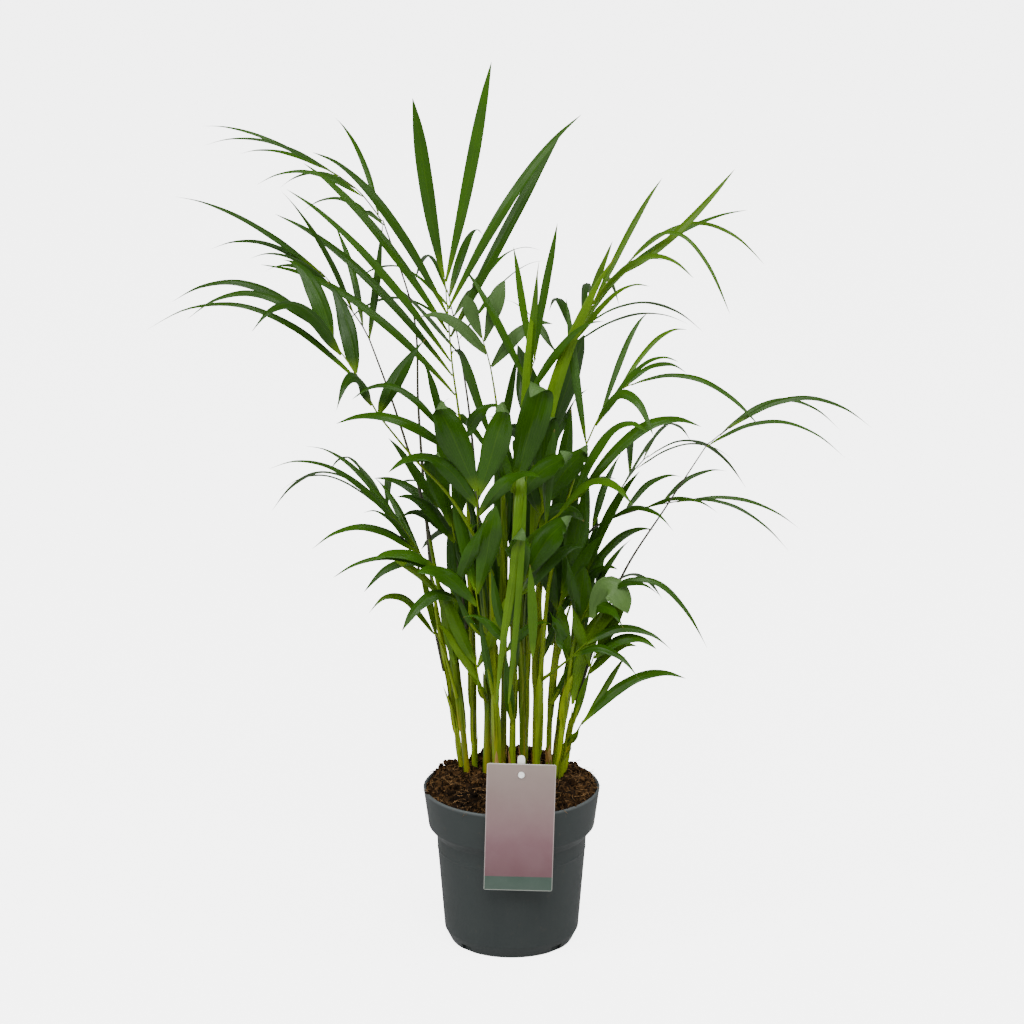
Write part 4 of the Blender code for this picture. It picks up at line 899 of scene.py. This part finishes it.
# New blades that stand up through the clump, still half rolled, and dark ones behind them whose deep tone is
# painted shade for the clump's shaded middle, by the leaf whose sheath they come out of. Each has its half
# width, its shade and its course.
RISING_BLADES = {
    "10": [
        (0.0036, 0.74, [(-0.010, -0.034, 0.180), (-0.006, -0.044, 0.224), (0.002, -0.054, 0.283),
                        (0.005, -0.052, 0.323), (0.008, -0.030, 0.364), (0.010, -0.020, 0.408),
                        (0.014, -0.012, 0.447), (0.018, -0.008, 0.477)]),
    ],
    "20": [
        (0.0024, 0.66, [(-0.002, -0.042, 0.183), (0.003, -0.048, 0.239), (0.006, -0.055, 0.283),
                        (0.010, -0.052, 0.345)]),
    ],
    "11": [
        (0.0050, 0.80, [(0.013, -0.004, 0.266), (0.020, -0.004, 0.350), (0.033, -0.004, 0.405),
                        (0.054, -0.004, 0.456), (0.068, -0.003, 0.479)]),
    ],
    "22": [
        (0.0034, 0.60, [(0.014, -0.050, 0.218), (0.014, -0.054, 0.246), (0.013, -0.056, 0.268),
                        (0.012, -0.058, 0.285)]),
    ],
    "40": [
        (0.0045, 0.75, [(0.041, -0.012, 0.172), (0.046, -0.013, 0.200), (0.054, -0.015, 0.220),
                        (0.061, -0.018, 0.241)]),
        (0.0032, 0.68, [(0.041, -0.010, 0.179), (0.044, -0.011, 0.206), (0.049, -0.013, 0.231)]),
    ],
    "21": [
        (0.0046, 0.70, [(-0.038, -0.010, 0.200), (-0.043, -0.011, 0.230), (-0.047, -0.013, 0.251)]),
        (0.0030, 0.62, [(-0.040, -0.008, 0.212), (-0.038, -0.009, 0.247), (-0.040, -0.010, 0.268)]),
    ],
    "07": [(0.0028, 0.80, [(-0.048, -0.022, 0.252), (-0.061, -0.026, 0.268), (-0.080, -0.032, 0.282)])],
    # The dark blades behind, from here on: their low shade is painted shade for the dark middle of the clump.
    "29": [
        (0.0065, 0.20, [(-0.029, 0.020, 0.203), (-0.038, 0.021, 0.259), (-0.040, 0.022, 0.300)]),
        (0.0058, 0.18, [(-0.022, 0.020, 0.213), (-0.025, 0.021, 0.252), (-0.028, 0.022, 0.296)]),
    ],
    "36": [(0.0060, 0.15, [(-0.018, 0.015, 0.197), (-0.016, 0.016, 0.246), (-0.021, 0.018, 0.294)])],
    "30": [
        (0.0065, 0.20, [(0.006, 0.020, 0.203), (0.006, 0.021, 0.252), (0.002, 0.022, 0.300)]),
        (0.0055, 0.15, [(-0.007, 0.018, 0.215), (-0.009, 0.019, 0.256), (-0.006, 0.020, 0.300)]),
        (0.0058, 0.22, [(0.002, 0.024, 0.262), (0.000, 0.025, 0.304), (-0.003, 0.026, 0.346)]),
    ],
    "37": [
        (0.0065, 0.12, [(0.027, 0.020, 0.203), (0.030, 0.021, 0.252), (0.032, 0.022, 0.297)]),
        (0.0055, 0.18, [(0.018, 0.020, 0.240), (0.020, 0.021, 0.290), (0.023, 0.022, 0.335)]),
        (0.0052, 0.25, [(0.012, 0.024, 0.250), (0.013, 0.025, 0.290), (0.012, 0.026, 0.330)]),
    ],
    "35": [
        (0.0060, 0.15, [(0.046, 0.015, 0.203), (0.051, 0.016, 0.252), (0.058, 0.018, 0.294)]),
        (0.0050, 0.22, [(0.038, 0.018, 0.255), (0.040, 0.019, 0.298), (0.044, 0.020, 0.338)]),
    ],
    "32": [(0.0065, 0.25, [(-0.008, 0.018, 0.260), (-0.006, 0.019, 0.308), (-0.008, 0.020, 0.356)])],
    "24": [(0.0060, 0.25, [(0.029, 0.018, 0.273), (0.034, 0.019, 0.322), (0.040, 0.020, 0.370)])],
}
RISING_FACING = (0, -1, 0.25)
# The last blade of a leaf that has folded over, so that its pale underside looks out: partly a painted
# highlight for the sheen on the fold.
FOLDED_HIGHLIGHT_BLADES = {
    "40": [
        (0.0085, 0.6, [(0.053, -0.030, 0.239), (0.058, -0.032, 0.254), (0.065, -0.036, 0.262),
                       (0.073, -0.040, 0.255), (0.077, -0.042, 0.246)]),
    ],
}
FOLDED_FACING = (-0.2, 1, -0.5)
FOLDED_KIND = 1.9


def in_turn(ring, near):
    """A ring of four points in the order that they go round."""
    order = [min(ring)]
    while len(order) < 4:
        order.append(min(k for k in near[order[-1]] if k in ring and k not in order))
    return order


def ring_of(points, ring, near):
    """A leaflet ring's middle, its half width, and the direction that its face looks."""
    a, b, c, d = (points[k] for k in in_turn(ring, near))
    one = (b - a + c - d) / 2
    other = (c - b + d - a) / 2
    if np.linalg.norm(one) < np.linalg.norm(other):
        one, other = other, one
    return (a + b + c + d) / 4, float(np.linalg.norm(one)) / 2, other / np.linalg.norm(other)


def is_tip(points, near, k):
    """Whether a point is a leaflet's tip: it has four neighbours, and none of them is near."""
    return len(near[k]) == 4 and min(np.linalg.norm(points[k] - points[j]) for j in near[k]) >= SHORTEST_TIP


def rings_from(tip, near):
    """A leaflet's rings of four points, from its tip back to its root."""
    rings = [set(near[tip])]
    seen = {tip} | rings[0]
    while True:
        back = set().union(*(near[k] for k in rings[-1])) - seen
        if len(back) != 4:
            return rings
        rings.append(back)
        seen |= back


def leaflet_line(points, near, tip, rings, upward):
    """A leaflet's line, root first, facing upward."""
    middles, halves, facings = zip(*(ring_of(points, ring, near) for ring in reversed(rings)))
    facings = [f if f @ upward > 0 else -f for f in facings]
    facings[0] = facings[1]
    return {
        "points": [*middles, points[tip]], "girth": max(halves[1:]) * BLADE_FULLNESS,
        "facing": [tuple(f) for f in [*facings, facings[-1]]], "kind": STIFF_KIND,
    }


def stalk_line(points, near, left):
    """A stalk's line, foot first, through the points that no leaflet has taken, sunk a little in its cane."""
    ring = set(sorted(left, key=lambda k: points[k][2])[:4])
    stations = []
    while ring:
        stations.append(ring)
        left -= ring
        ring = set().union(*(near[k] for k in ring)) & left
    middles = [points[list(ring)].mean(0) for ring in stations]
    radii = []
    for ring, middle in zip(stations, middles):
        corner = float(np.linalg.norm(points[list(ring)] - middle, axis=1).mean())
        radii.append(min(corner / 1.2, STALK_THICKEST))
    rise = (middles[1] - middles[0]) / np.linalg.norm(middles[1] - middles[0])
    middles[0] = middles[0] - rise * STALK_SEAT
    return {"points": middles, "girth": radii, "facing": (0, -1, 0), "kind": 0.0}


def leaf_lines(node):
    """A CAD leaf's stalk and leaflets, as lines. Leaves of the back row lean, and so face, to the back."""
    points, near = welded(node)
    upward = np.array((0, 0.6, 1)) if points[:, 1].mean() > BACK_ROW else np.array((0, -0.6, 1))
    taken = set()
    leaflets = []
    for tip in range(len(points)):
        if is_tip(points, near, tip):
            rings = rings_from(tip, near)
            taken |= {tip}.union(*rings[:-1])
            leaflets.append(leaflet_line(points, near, tip, rings, upward))
    return stalk_line(points, near, set(range(len(points))) - taken), leaflets


def nodding(leaflet):
    """Bends the leaflet's end over in an arc, towards the side that its face looks."""
    *rest, last, tip = leaflet["points"]
    ahead = (tip - last) / np.linalg.norm(tip - last)
    face = np.array(leaflet["facing"][-1])
    face = face - ahead * (face @ ahead)
    face = face / np.linalg.norm(face)
    step = np.linalg.norm(tip - last) * NOD_STEP
    route = [last]
    facings = leaflet["facing"][:-1]
    for angle in NOD_BEND:
        turn = math.radians(angle)
        route.append(route[-1] + (ahead * math.cos(turn) + face * math.sin(turn)) * step)
        facings.append(tuple(face * math.cos(turn) - ahead * math.sin(turn)))
    leaflet["points"] = [*rest, *route]
    leaflet["facing"] = facings


def formed(number, leaflets):
    """Gives a leaf's leaflets their fullness, and the lobes of a first leaf their breadth and their nod."""
    for leaflet in leaflets:
        leaflet["girth"] *= SLIM_LEAVES.get(number, 1.0)
        if number in WHIP_LEAVES:
            leaflet["kind"] = WHIP_KIND
        if number == CROWN_LEAF:
            leaflet["kind"] = CROWN_KIND
        if number in PALE_LEAVES:
            leaflet["facing"] = [tuple(-np.array(facing)) for facing in leaflet["facing"]]
    if number in BROAD_LEAVES:
        for lobe in sorted(leaflets, key=lambda line: -line["girth"])[:2]:
            lobe["girth"] *= BROAD_LEAVES[number]
            lobe["kind"] = BROAD_KIND
            if number in NODDING:
                nodding(lobe)


def whole_leaf(node):
    """All the lines of a leaf: its stalk, its leaflets, its clasping sheath, and the blades that rise by it."""
    number = node[-2:]
    stalk, leaflets = leaf_lines(node)
    formed(number, leaflets)
    lines = [stalk, *leaflets]
    if number in CLASPED_STALKS:
        lines.append(sheath_line(stalk["points"], CLASP_RADIUS, 0.0, CLASP_END, -math.pi / 2,
                                 CLASPED_STALKS[number], CLASP_LEAN))
    for line in lines:
        line["shade"] = float(np.clip(LEAF_TONES[number] + chance.uniform(-TONE_SPREAD, TONE_SPREAD), 0, 1))
    if number in DARK_STALKS:
        stalk["shade"] = DARK_STALK_SHADE
    # The dark rising blades carry painted shade in their low shade, and the folded blade's pale underside is
    # partly a painted highlight.
    for blades, facing, kind in (
        (RISING_BLADES, RISING_FACING, STIFF_KIND), (FOLDED_HIGHLIGHT_BLADES, FOLDED_FACING, FOLDED_KIND),
    ):
        for half_width, shade, points in blades.get(number, ()):
            blade = {"points": points, "girth": half_width, "facing": facing, "kind": kind, "shade": shade}
            lines.append(blade)
    return lines


leaf_skin = Finish("leaf_skin", Specular_IOR_Level=0.18)
place = leaf_skin.own_place()
along = leaf_skin.attribute("along")
across = leaf_skin.math("ABSOLUTE", leaf_skin.attribute("across"))
shade = leaf_skin.attribute("shade")
kind = leaf_skin.attribute("kind")
grain, mottle = grain_and_mottle(leaf_skin, place, 1200.0, 55.0)
veins = leaf_skin.math("SINE", leaf_skin.math("MULTIPLY", across, 38.0))
under = leaf_skin.ramp(leaf_skin.attribute("side"), 0.05, -0.05)
dry = leaf_skin.math("MULTIPLY", leaf_skin.ramp(along, 0.955, 0.995),
                     leaf_skin.ramp(leaf_skin.noise(place, 60.0, 2.0), 0.45, 0.55))
dry = leaf_skin.math("MULTIPLY", dry, leaf_skin.ramp(kind, 1.6, 1.4))
colour = leaf_skin.mixed(leaf_skin.ramp(shade, 0.0, 0.55), LEAF_DEEP, LEAF_MID)
colour = leaf_skin.mixed(leaf_skin.ramp(shade, 0.5, 1.0), colour, LEAF_FRESH)
colour = leaf_skin.mixed(leaf_skin.math("MULTIPLY", mottle, 0.3), colour, LEAF_DEEP)
colour = leaf_skin.mixed(leaf_skin.ramp(along, 0.16, 0.0, 0, 0.6), colour, LEAF_FRESH)
colour = leaf_skin.mixed(leaf_skin.ramp(veins, 0.5, 1.0, 0, 0.05), colour, LEAF_VEIN)
colour = leaf_skin.mixed(leaf_skin.ramp(across, 0.07, 0.02, 0, 0.08), colour, LEAF_VEIN)
colour = leaf_skin.mixed(leaf_skin.math("MULTIPLY", under, 0.7), colour, LEAF_UNDER)
colour = leaf_skin.mixed(leaf_skin.math("MULTIPLY", dry, 0.8), colour, LEAF_DRY)
stalk_colour = leaf_skin.mixed(leaf_skin.ramp(shade, 0.0, 1.0), STALK_GREEN, CANE_LIME)
stalk_colour = leaf_skin.mixed(leaf_skin.ramp(shade, 1.2, 1.4), stalk_colour, STALK_DARK)
relief = leaf_skin.math("ADD", veins, leaf_skin.math("MULTIPLY", grain, 0.5))
leaf_skin.dress(
    Base_Color=leaf_skin.mixed(leaf_skin.ramp(kind, 0.4, 0.6), stalk_colour, colour),
    Roughness=leaf_skin.math("ADD", leaf_skin.ramp(mottle, 0, 1, 0.30, 0.40),
                             leaf_skin.math("MULTIPLY", under, 0.15)),
    Normal=leaf_skin.bump(relief, 0.16, 0.00012),
)

leaf_tree = sweep_tree("leaf_sweep", STALK_SHAPE, BLADE_SHAPE, BROAD_SHAPE, BLADE_FOLD)
for name in sorted(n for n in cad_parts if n.startswith("frond_")):
    piece = leaf_tree.grow(
        name.replace("frond", "leaf"), lines_mesh(name, whole_leaf(name)), Material=leaf_skin.material,
        Rod_Steps=STALK_STEPS, Rod_Sides=STALK_SIDES, Blade_Steps=LEAF_STEPS, Blade_Sides=LEAF_SIDES,
        Thickness=BLADE_THINNESS, Fold=0.55, Pleat=0.035, Ripple=0.05,
    )
    fit_grown(piece, name)
